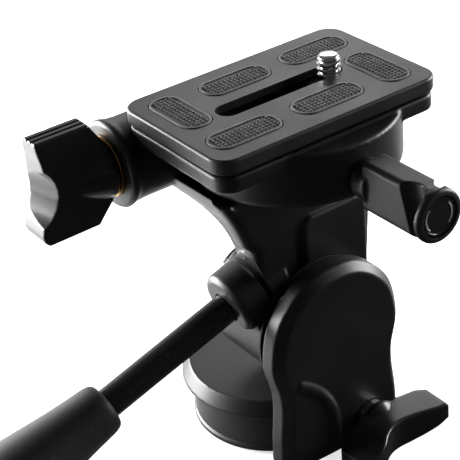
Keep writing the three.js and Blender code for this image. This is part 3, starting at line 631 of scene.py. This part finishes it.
barrel = {"radius": 11.4, "tail": 7.7, "bell": (11.6, 36), "bellStart": 33,
          "flange": 12.2, "flangeAt": (37.6, 38.4), "mouth": 39.2, "chamfer": 0.8}
barrelBody = alongY(lathe([
    (0, -barrel["tail"]), (barrel["radius"], -barrel["tail"]),
    (barrel["radius"], barrel["bellStart"]), barrel["bell"],
    *[(barrel["flange"], along) for along in barrel["flangeAt"]],
    (barrel["flange"] - barrel["chamfer"], barrel["mouth"]), (0, barrel["mouth"]),
]), sideX, 0, sideZ)

sleeve = {"outer": 18, "start": -1.5, "length": 24.8, "wall": 2.7,
          "slit": {"low": (-18, -11.5, -1.6), "high": (18, 15.4, 0)}}
sleeveBody = alongX(cylinder(sleeve["outer"], 0, sleeve["length"]), sleeve["start"], 0, tiltZ)

boss = {"radius": 9.4, "root": -8, "length": 8.6, "chamfer": 1.4,
        "flat": {"low": (-20, -20, -0.6), "high": (20, -5.2, 20)}}
bossShape = asObject("boss", lathe([
    (0, boss["root"]), (boss["radius"], boss["root"]),
    (boss["radius"], boss["length"] - boss["chamfer"]),
    (boss["radius"] - boss["chamfer"], boss["length"]), (0, boss["length"]),
]))
carved(bossShape, block(**boss["flat"]))
earBody = alongX(slab(neck["ear"], neck["earThickness"]), neck["earStart"], 0, tiltZ)

tiltBores = {
    "sleeve": (14, 0, 30, 96), "armFace": (60, 0, 4, 48), "armFaceStart": 23.35,
    "rodHole": (4.5, 1.5, 12, 64), "rodThread": (3.7, -12, 2, 64),
    "axle": (4.3, -4, 4, 48), "shaft": (4.3, -12, 42, 48),
}
tiltBodies = [*neckBodies, asBody(gooseShape), barrelBody, sleeveBody,
              alongHandle(asBody(bossShape)), earBody]
tiltCasting = cast("tilt_casting", union(*tiltBodies), neck["skin"], neck["soften"])
carved(tiltCasting,
       alongX(cylinder(*tiltBores["sleeve"]), sleeve["start"] + sleeve["wall"], 0, tiltZ),
       alongHandle(block(**sleeve["slit"])),
       alongX(cylinder(*tiltBores["armFace"]), tiltBores["armFaceStart"], 0, tiltZ),
       alongHandle(cylinder(*tiltBores["rodHole"])),
       alongHandle(cylinder(*tiltBores["rodThread"])),
       alongX(cylinder(*tiltBores["axle"]), 0, 0, tiltZ),
       alongY(cylinder(*tiltBores["shaft"]), sideX, 0, sideZ))
finishPiece(tiltCasting, "tilt", "casting", "casting", "tilt_body")
print("tilt casting made")


# Handle: rod and flared grip

handle = {
    "radius": 4.15, "thread": 3.3, "root": -10, "shoulder": (1.8, 2), "end": 130, "rim": 0.2,
    "grip": 12.6, "gripStart": 50, "gripLength": 90,
    "gripShares": [  # along the grip, and its radius as a share of the widest
        (0, 0.36), (0, 0.47), (0.006, 0.52), (0.02, 0.565), (0.05, 0.585), (0.12, 0.62),
        (0.25, 0.74), (0.38, 0.88), (0.55, 0.99), (0.72, 1), (0.88, 0.92), (0.985, 0.845),
        (1, 0.82), (1, 0.36),
    ],
}
threadEnd, rodStart = handle["shoulder"]
rodBody = lathe([
    (0, handle["root"]), (handle["thread"], handle["root"]), (handle["thread"], threadEnd),
    (handle["radius"], rodStart), (handle["radius"], handle["end"]), (0, handle["end"]),
], steps=64)
roundRims(rodBody, handle["rim"], segments=2)
rod = weighted(asObject("handle_bar", alongHandle(rodBody)))
finishPiece(rod, "handle", "rodBlack", "rod", "handle_rod")

gripBody = lathe([(handle["grip"] * wide, handle["gripStart"] + handle["gripLength"] * along)
                  for along, wide in handle["gripShares"]], closed=True)
grip = asObject("rubber_grip", alongHandle(gripBody))
finishPiece(grip, "handle", "gripRubber", "rubber", "handle_grip")
gripSmooth = grip.modifiers.new("smooth", "SUBSURF")
gripSmooth.levels = gripSmooth.render_levels = 1
print("handle made")


# Platform: bed under the plate, cup and side tilt hub, one casting

platform = {
    "skin": 0.45, "soften": 3,
    "cup": 28.4, "cupY": 3.5, "cupTop": 102.3, "cupFloor": 87, "edge": 2, "soft": 0.6,
    "bed": {"low": (-22, -34.5, 98.6), "high": (22, 34.5, 103), "corner": 5, "rim": 0.4},
    "hub": (9.9, 0, 12.3, 96), "hubStart": 20.3,
    "barrelRoom": (12.1, 0, 44, 96), "barrelStart": 8,
    "neckRoom": {"low": (-24, -36, 78), "high": (-11, 8, 103.2)},
    "shaftBore": (4.3, -22, -7, 48),
    "tenonRoom": {"low": (-13.8, -27.5, 98.6), "high": (16, 27.5, 104)},
    "jawRoom": {"low": (10, -11.8, 88.5), "high": (20.1, 18.8, 104)},
    "screwStart": 16, "screwBore": (3.3, 0, 20, 48), "clipRoom": (5.3, 0, 6, 48),
}
cup, cupFloor, cupTop = platform["cup"], platform["cupFloor"], platform["cupTop"]
cupBody = shifted(lathe([
    (0, cupFloor), (cup - platform["edge"], cupFloor),
    (cup - platform["soft"], cupFloor + platform["soft"]), (cup, cupFloor + platform["edge"]),
    (cup, cupTop - platform["soft"]), (cup - platform["soft"], cupTop), (0, cupTop),
], steps=144), plateX, platform["cupY"])
bedBody = shifted(block(**platform["bed"]), plateX)
hubBody = alongY(cylinder(*platform["hub"]), sideX, platform["hubStart"], sideZ)


def barrelRoom():
    return alongY(cylinder(*platform["barrelRoom"]), sideX, platform["barrelStart"], sideZ)


cupShape = carved(asObject("cup", cupBody), barrelRoom(), block(**platform["neckRoom"]))
platformPiece = cast("platform_casting", union(asBody(cupShape), bedBody, hubBody),
                     platform["skin"], platform["soften"])
screwAxis = (plateX + platform["screwStart"], *datum["releaseAxis"])
carved(platformPiece,
       alongY(cylinder(*platform["shaftBore"]), sideX, 0, sideZ),
       barrelRoom(),
       shifted(block(**platform["tenonRoom"]), plateX),
       shifted(block(**platform["jawRoom"]), plateX),
       alongX(cylinder(*platform["screwBore"]), *screwAxis),
       alongX(cylinder(*platform["clipRoom"]), *screwAxis))
finishPiece(platformPiece, "platform", "casting", "casting", "platform")
print("platform made")


# Quick release plate and its six pads

plate = {
    "width": 45, "length": 70, "thickness": 4.2, "corner": 5.5, "rim": 0.8,
    "tenon": [(-11.5, 0.5), (-11.5, 0), (-13.5, -4.7), (13.5, -4.7), (11.5, 0), (11.5, 0.5)],
    "tenonLength": 54,
    "slot": {"low": (-3.5, -19.9, 90), "high": (3.5, 19.6, 110), "corner": 3.48},
    "channel": {"low": (-7.3, -23.4, 90), "high": (7.3, 23.1, 105.8), "corner": 7.28},
}
halfWidth, halfLength = plate["width"] / 2, plate["length"] / 2
plateFoot = plateZ - plate["thickness"]
plateBody = block((-halfWidth, -halfLength, 0), (halfWidth, halfLength, plate["thickness"]),
                  plate["corner"], plate["rim"], cornerSteps=14, rimSteps=4)
tenonBody = alongY(slab(plate["tenon"], plate["tenonLength"]),
                   plateX, plate["tenonLength"] / 2, plateFoot)
platePiece = asObject("quick_release_plate", shifted(plateBody, plateX, plateY, plateFoot))
carved(platePiece, tenonBody, operation="UNION")
carved(platePiece, *[shifted(block(**plate[room]), plateX) for room in ("slot", "channel")])

pads = {
    "length": 20.6, "width": 9, "corner": 4.1, "rim": 0.55, "rimRound": 0.12,
    "recess": 0.9, "gap": 0.3, "proud": 0.35, "rimDrop": 0.1, "above": 1,
    "pitch": 1.2, "dotFoot": 0.44, "dotTop": 0.3, "dotHeight": 0.5, "dotSunk": 0.1,
    "places": {  # from the plate's centre, and whether the pad lies across the plate
        "pad_rear_end": (-7.5, -26, True), "pad_front_end": (7.5, 26, True),
        "pad_left_rear": (-12.5, -5.2, False), "pad_left_front": (-12.5, 20.7, False),
        "pad_right_rear": (12.5, -20.7, False), "pad_right_front": (12.5, 5.2, False),
    },
}
padFoot = plateZ - pads["recess"]


def padOutline(place, grow, low, high, rim=0.0):
    x, y, across = place
    halfX = (pads["length"] if across else pads["width"]) / 2 + grow
    halfY = (pads["width"] if across else pads["length"]) / 2 + grow
    return block((plateX + x - halfX, y - halfY, low), (plateX + x + halfX, y + halfY, high),
                 pads["corner"] + grow, rim)


def insidePad(along, side):  # whether a dot there is clear of the pad's round ends and its rim
    over = max(0, abs(along) - (pads["length"] / 2 - pads["corner"]))
    past = max(0, abs(side) - (pads["width"] / 2 - pads["corner"]))
    return math.hypot(over, past) <= pads["corner"] - pads["rim"] - pads["dotFoot"]


carved(platePiece, *[padOutline(place, pads["gap"], padFoot, plateZ + pads["above"])
                     for place in pads["places"].values()])
finishPiece(weighted(platePiece), "platform", "plateTop", "plate", "quick_plate")

dotSteps = [index * pads["pitch"] for index in range(-8, 9)]
dotPlaces = [(along, side) for along in dotSteps for side in dotSteps if insidePad(along, side)]
dotFloor = plateZ + pads["proud"] - pads["dotHeight"]
dotMiddle = dotFloor + pads["dotHeight"] / 2 - pads["dotSunk"] / 2
for name, place in pads["places"].items():
    x, y, across = place
    rim = asObject("rim", padOutline(place, 0, padFoot + pads["gap"],
                                     plateZ + pads["proud"] - pads["rimDrop"], pads["rimRound"]))
    padBody = asBody(carved(rim, padOutline(place, -pads["rim"], dotFloor, plateZ + pads["above"])))
    for along, side in dotPlaces:
        dx, dy = (along, side) if across else (side, along)
        bmesh.ops.create_cone(padBody, cap_ends=True, segments=6, radius1=pads["dotFoot"],
                              radius2=pads["dotTop"], depth=pads["dotHeight"] + pads["dotSunk"],
                              matrix=Matrix.Translation((plateX + x + dx, y + dy, dotMiddle)))
    finishPiece(asObject("grip_" + name, padBody), "platform", "padRubber", "pad_rubber", name,
                crease=25)
print("plate and pads made")


# Camera screw with its thread

stud = {
    "y": 16, "core": 2.5, "rise": 4.6, "foot": -9, "rim": 0.12,
    "head": {"radius": 6.6, "low": -5.7, "high": -2.5},
    "tip": [(2.5, 1.5), (2.75, 1.35), (2.9, 0.9), (2.75, 0.45), (2.35, 0.12), (1.9, 0), (0, 0)],
    "thread": {"radius": 3.15, "pitch": 1.5, "turns": 3.3, "start": -1.7, "steps": 40,
               "sunk": 0.15, "root": 0.62, "crest": 0.08},
}
studHead, thread = stud["head"], stud["thread"]
studBody = lathe([
    (0, stud["foot"]), (stud["core"], stud["foot"]), (stud["core"], studHead["low"]),
    (studHead["radius"], studHead["low"]), (studHead["radius"], studHead["high"]),
    (stud["core"], studHead["high"]),
    *[(radius, stud["rise"] - down) for radius, down in stud["tip"]],
], steps=64)
roundRims(studBody, stud["rim"], segments=2)
threadRoot = stud["core"] - thread["sunk"]
threadBody = bmesh.new()
threadBody.faces.new([threadBody.verts.new(point) for point in (
    (threadRoot, 0, -thread["root"]), (thread["radius"], 0, -thread["crest"]),
    (thread["radius"], 0, thread["crest"]), (threadRoot, 0, thread["root"]),
)])
bmesh.ops.spin(threadBody, geom=threadBody.verts[:] + threadBody.edges[:] + threadBody.faces[:],
               cent=(0, 0, 0), axis=(0, 0, 1), dvec=(0, 0, thread["pitch"] / thread["steps"]),
               angle=2 * math.pi * thread["turns"], steps=round(thread["steps"] * thread["turns"]))
bmesh.ops.recalc_face_normals(threadBody, faces=threadBody.faces[:])
shifted(threadBody, z=thread["start"])
studPiece = asObject("camera_stud", shifted(union(studBody, threadBody), plateX, stud["y"], plateZ))
finishPiece(studPiece, "screw", "chrome", "chrome", "camera_screw")
print("camera screw made")


# Wing knobs: a flat wing on a round neck, its end hollowed for the thumb

sideKnob = {
    "thickness": 10.8, "rim": 0.6, "skin": 0.3, "soften": 3, "start": -40.5,
    "neck": 8.3, "neckRim": 0.4, "hub": 2.4, "hubEnd": (5.9, 10.5),
    "taper": (0.85, 0.1), "handed": 1, "span": 16,
    "outline": [  # out along the axis, across it upwards, and the kind of point
        (1.1, -7.6, "VECTOR"), (3.6, -10.4, "VECTOR"), (5.8, -13.2, "VECTOR"),
        (21, -13.4, "VECTOR"), (22.4, -11.6, "AUTO"), (22.2, -8.4, "AUTO"), (21.4, -5.8, "AUTO"),
        (20.3, -3.4, "AUTO"), (19.6, -0.6, "AUTO"), (19.7, 4.2, "AUTO"), (20.1, 9.4, "AUTO"),
        (20.9, 13.6, "AUTO"), (21.2, 16.2, "VECTOR"), (5.6, 16.2, "VECTOR"),
        (2.9, 11.7, "VECTOR"), (0.6, 8.3, "VECTOR"),
    ],
    "hollow": {"radius": 10, "bottom": 18.45, "across": 0.8, "lean": 0.245},  # deeper on one face
    "groove": (0.6, -5, 40, 24), "grooveAcross": 16.4, "groovePlaces": (-3.1, -1.1),
    "bore": (5.7, -1, 7.9, 64),
}
lockKnob = {
    "thickness": 9.4, "rim": 0.8, "skin": 0.3, "soften": 4, "start": 36.3,
    "neck": 6.3, "neckRim": 0.4, "hub": 1.4, "hubEnd": (4.8, 4.4),
    "taper": (1.15, 1.0), "handed": -1, "span": 16,
    "outline": [
        (0.3, -6, "VECTOR"), (2.4, -13, "VECTOR"), (3.6, -16, "VECTOR"), (13.4, -15.8, "VECTOR"),
        (14.6, -14, "VECTOR"), (14.6, -11, "AUTO"), (13.4, -8, "AUTO"), (11, -4.6, "AUTO"),
        (9.8, -0.5, "AUTO"), (10.4, 4.6, "AUTO"), (11.6, 9, "AUTO"), (12.7, 13, "AUTO"),
        (12.8, 15.8, "VECTOR"), (3.4, 15.8, "VECTOR"), (1.4, 13, "VECTOR"), (0.3, 6, "VECTOR"),
    ],
    "hollow": {"radius": 10, "bottom": 10.6, "across": 0, "lean": 0.1},
    "groovePlaces": (),
    "bore": (2.8, -1, 7, 64),
}
through = 20  # half the length of a tool that cuts right through a knob


def wingKnob(name, wing):  # out along Z, across along X
    outline = [(across, out, kind) for out, across, kind in wing["outline"]]
    flat = curveSlab(outline, wing["thickness"], wing["rim"], smoothness=12)
    moved(flat, Matrix.Rotation(math.pi / 2, 4, "X")
          @ Matrix.Translation((0, 0, -wing["thickness"] / 2)))
    neckRadius, neckRim, hubEnd = wing["neck"], wing["neckRim"], wing["hubEnd"]
    hub = lathe([(0, 0), (neckRadius - neckRim, 0), (neckRadius, neckRim),
                 (neckRadius, wing["hub"]), hubEnd, (0, hubEnd[1])])
    hollow = wing["hollow"]
    scoop = alongY(cylinder(hollow["radius"], -through, through))
    moved(scoop, Matrix.Rotation(hollow["lean"], 4, "X"))
    shifted(scoop, x=hollow["across"], z=hollow["bottom"] + hollow["radius"])
    flatPiece = carved(asObject("flat", flat), scoop)
    knob = cast(name, union(asBody(flatPiece), hub), wing["skin"], wing["soften"])
    upper, lower = wing["taper"]
    for vert in knob.data.vertices:  # each tip thins from one face only, the two from opposite ones
        if vert.co.x * vert.co.y * wing["handed"] > 0:
            share = abs(vert.co.x) / (wing["span"] * mm)
            vert.co.y *= 1 - (upper if vert.co.x > 0 else lower) * share ** 2
    grooves = [shifted(cylinder(*wing["groove"]), x=wing["grooveAcross"], y=place)
               for place in wing["groovePlaces"]]
    carved(knob, cylinder(*wing["bore"]), *grooves)
    return asBody(knob)


sideTurn = Matrix(((0, -1, 0), (0, 0, -1), (1, 0, 0))).to_4x4()  # out to -Y, across to Z
sideWing = moved(wingKnob("side_wing", sideKnob),
                 Matrix.Translation((sideX, sideKnob["start"], sideZ)) @ sideTurn)
finishPiece(asObject("side_tilt_wing_knob", sideWing), "side_knob", "plastic", "plastic",
            "side_tilt_knob")
ring = {"inner": 4.3, "outer": 8.45, "front": -40.2, "rear": -39.6, "rim": 0.12}
ringLength = ring["rear"] - ring["front"]
ringBody = lathe([(ring["inner"], 0), (ring["outer"], 0), (ring["outer"], ringLength),
                  (ring["inner"], ringLength)], closed=True)
roundRims(ringBody, ring["rim"], segments=2)
alongY(ringBody, sideX, ring["rear"], sideZ)
finishPiece(asObject("brass_ring", ringBody), "tilt", "brass", "brass", "side_tilt_ring")
lockWing = alongX(wingKnob("lock_wing", lockKnob), lockKnob["start"], *datum["lockAxis"])
finishPiece(asObject("pan_lock_wing_knob", lockWing), "pan_lock", "plastic", "plastic",
            "pan_lock_knob")
print("wing knobs made")


# Quick release knob: a bar with two flats and a finger scoop each side of a web, and a capped
# round end. Lengths are out along its axis.

release = {
    "start": 42.2, "length": 27, "skin": 0.26, "barSoften": 1, "soften": 3,
    "neck": 5.4, "neckLength": 5,
    "flat": 4, "tall": 6.9, "flatRim": 1.6, "flatFrom": 3.2, "flatShort": 1.5,
    "radius": 7.1, "endRoot": 3.6, "endRim": 0.6,
    "coneShort": 5.6, "roundShort": 3, "scoopShort": 1.8,  # how far before the end each of them is
    "web": 2, "scoop": 4.9, "scoopAt": 23.6, "lean": -0.3,
    "bore": (3.3, -1, 16.2, 48),
    "cap": {"radius": 5.5, "depth": 1.5, "above": 1, "sunk": 0.35, "thickness": 0.9,
            "gap": 0.25, "chamfer": 0.25, "brim": 0.9, "dish": 0.2, "dishAt": 1.05},
    "arcs": {"radius": 4.1, "thickness": 0.42, "sweep": (-42, 42)},
}
barEnd = release["length"]


def onReleaseAxis(bm):
    return alongX(bm, release["start"], *datum["releaseAxis"])


paddle = block((-release["flat"], -release["tall"], release["flatFrom"]),
               (release["flat"], release["tall"], barEnd - release["flatShort"]),
               release["flatRim"])
roundNeck = cylinder(release["neck"], 0, release["neckLength"])
roundEnd = lathe([
    (0, barEnd - release["coneShort"]), (release["endRoot"], barEnd - release["coneShort"]),
    (release["radius"], barEnd - release["roundShort"]),
    (release["radius"], barEnd - release["endRim"]),
    (release["radius"] - release["endRim"], barEnd), (0, barEnd),
])
bar = cast("bar", union(paddle, roundNeck, roundEnd), release["skin"], release["barSoften"])
scoops = []
for side in (-1, 1):
    scoop = alongY(cylinder(release["scoop"], -through, through, steps=64))
    moved(scoop, Matrix.Rotation(-side * release["lean"], 4, "X"))
    scoops.append(shifted(scoop, x=side * (release["web"] / 2 + release["scoop"]),
                          z=release["scoopAt"]))
roundEndRoom = cylinder(through, barEnd - release["scoopShort"], 2 * through, steps=64)
scoopPair = carved(asObject("scoops", union(*scoops)), roundEndRoom)
carved(bar, asBody(scoopPair))
releaseBar = cast("release", asBody(bar), release["skin"], release["soften"])
cap = release["cap"]
carved(releaseBar,
       cylinder(cap["radius"], barEnd - cap["depth"], barEnd + cap["above"], steps=64),
       cylinder(*release["bore"]))
finishPiece(asObject("quick_release_knob", onReleaseAxis(asBody(releaseBar))),
            "release", "knobGrey", "plastic", "release_knob")

capFace = barEnd - cap["sunk"]
capSide = cap["radius"] - cap["gap"]
capBody = lathe([
    (0, capFace - cap["thickness"]), (capSide, capFace - cap["thickness"]),
    (capSide, capFace - cap["chamfer"]), (capSide - cap["chamfer"], capFace),
    (cap["radius"] - cap["brim"], capFace), (cap["radius"] - cap["dishAt"], capFace - cap["dish"]),
    (0, capFace - cap["dish"]),
], steps=64)
finishPiece(asObject("release_knob_cap", onReleaseAxis(capBody)),
            "release", "plastic", "plastic", "release_cap")
arcs = release["arcs"]
for index, side in enumerate((0, math.pi)):
    arc = ringArc(arcs["radius"], arcs["thickness"], arcs["sweep"], sides=4, steps=30,
                  height=capFace - cap["dish"], turn=side)
    finishPiece(asObject(f"cap_arc_{index + 1}", onReleaseAxis(arc)),
                "release", "paint", "plastic")
print("release knob made")


# Finishes of the frame's own pieces

framePieces = {
    "steel": ["tripod_bush", "pan_screw", "pan_screw_washer", "tilt_axle", "tilt_drum",
              "tilt_washer", "tilt_nut", "pan_lock_screw", "side_tilt_shaft",
              "camera_screw_clip", "clamp_jaw", "release_screw", "release_clip"],
    "nylon": ["pan_friction_disc", "pan_lock_shoe"],
    "linerBlack": ["tilt_liner", "tilt_friction_washer"],
    "brass": ["side_tilt_insert"],
    "chrome": ["pan_lock_collar"],
    "plastic": ["tilt_end_cap", "grip_end_cap"],
}
for finish, names in framePieces.items():
    for name in names:
        node = nodes[name]
        node.data.materials.clear()
        node.data.materials.append(finishes[finish])
print("frame pieces finished")


# Floor, world and lamps. The camera sees both as white; reflections see the floor painted dark on
# the +X side, a painted shade in place of a black flag, and a backdrop that darkens upwards and
# towards darkSide.

stage = {
    "size": 6, "drop": 0.5,  # metres across, and millimetres below the head
    "floor": 0.8, "floorRough": 0.9, "floorSpecular": 0.1, "floorWhite": 0.62,
    "shadeReflectionX": (-0.02, 0.03), "shadeReflectionTone": 0.02,  # X where the floor is painted dark for reflections, a painted shade, and how dark
    "fade": (0.36, 0.62), "zenith": 0.15,
    "darkSide": (1, -0.25, -0.1), "darkFade": (-0.3, 0.35), "darkest": 0.05,
    "ambient": 0.07,
}


def plainView(tree, sight):  # rays that show the floor or world as they are, not lit or reflected
    return mathNode(tree, "MAXIMUM", sight.outputs["Is Camera Ray"],
                    sight.outputs["Is Transmission Ray"])


floorMesh = bmesh.new()
bmesh.ops.create_grid(floorMesh, x_segments=1, y_segments=1, size=stage["size"] / 2 / mm)
shifted(floorMesh, z=(cadLow.z / mm) - stage["drop"])
floor = asObject("floor", floorMesh)
floorMaterial = bpy.data.materials.new("pale_floor_painted_shade_in_reflections")
floorMaterial.use_nodes = True
floorTree = floorMaterial.node_tree
floorShader = floorTree.nodes["Principled BSDF"]
floorShader.inputs["Roughness"].default_value = stage["floorRough"]
floorShader.inputs["Specular IOR Level"].default_value = stage["floorSpecular"]
floorSight = floorTree.nodes.new("ShaderNodeLightPath")
floorPlace = floorTree.nodes.new("ShaderNodeTexCoord").outputs["Object"]
# Painted shade: for reflections only, the floor's colour goes dark on the +X side, so the faces
# that mirror it read dark
shadeReflectionSide = rangeNode(floorTree, axisNode(floorTree, floorPlace, "X"), *stage["shadeReflectionX"])
shadeReflectionMask = mathNode(floorTree, "MULTIPLY", shadeReflectionSide, floorSight.outputs["Is Glossy Ray"])
floorColorWithPaintedShade = mixColor(floorTree, shadeReflectionMask, (stage["floor"],) * 3, (stage["shadeReflectionTone"],) * 3)
floorTree.links.new(floorColorWithPaintedShade, floorShader.inputs["Base Color"])
floorShader.inputs["Emission Color"].default_value = (1, 1, 1, 1)
floorGlow = mathNode(floorTree, "MULTIPLY", plainView(floorTree, floorSight), stage["floorWhite"])
floorTree.links.new(floorGlow, floorShader.inputs["Emission Strength"])
floor.data.materials.append(floorMaterial)

world = bpy.data.worlds.new("studio")
world.use_nodes = True
bpy.context.scene.world = world
sky = world.node_tree
sky.nodes.clear()
skySight = sky.nodes.new("ShaderNodeLightPath")
skyWay = sky.nodes.new("ShaderNodeTexCoord").outputs["Generated"]
sideways = rangeNode(sky, dotNode(sky, skyWay, stage["darkSide"]),
                     *stage["darkFade"], 1, stage["darkest"])
upwards = rangeNode(sky, axisNode(sky, skyWay, "Z"), *stage["fade"], 1, stage["zenith"])
backdrop = mathNode(sky, "MULTIPLY", sideways, upwards)
reflected = mathNode(sky, "MULTIPLY", skySight.outputs["Is Glossy Ray"], backdrop)
white = mathNode(sky, "MAXIMUM", plainView(sky, skySight), reflected)
background = sky.nodes.new("ShaderNodeBackground")
background.inputs["Color"].default_value = (1, 1, 1, 1)
sky.links.new(mathNode(sky, "MAXIMUM", white, stage["ambient"]), background.inputs["Strength"])
sky.links.new(background.outputs[0], sky.nodes.new("ShaderNodeOutputWorld").inputs["Surface"])

lamps = {  # place, size and power of each soft box
    "leftLow": {"place": (-0.32, -0.22, 0.12), "size": (0.34, 0.22), "power": 8},
    "back": {"place": (-0.47, 0.42, 0.42), "size": (0.34, 0.2), "power": 0.75},
    "rim": {"place": (0.13, 0.5, 0.2), "size": (0.34, 0.34), "power": 5.5},
}
lampTarget = Vector((0.013, 0, 0.06))
for name, lamp in lamps.items():
    light = bpy.data.lights.new(name, "AREA")
    light.shape = "RECTANGLE"
    light.size, light.size_y = lamp["size"]
    light.energy = lamp["power"]
    holder = bpy.data.objects.new(name, light)
    holder.location = lamp["place"]
    holder.rotation_euler = (lampTarget - holder.location).to_track_quat("-Z", "Y").to_euler()
    bpy.context.scene.collection.objects.link(holder)

bpy.context.scene.view_settings.view_transform = "Standard"

print("stage lit")
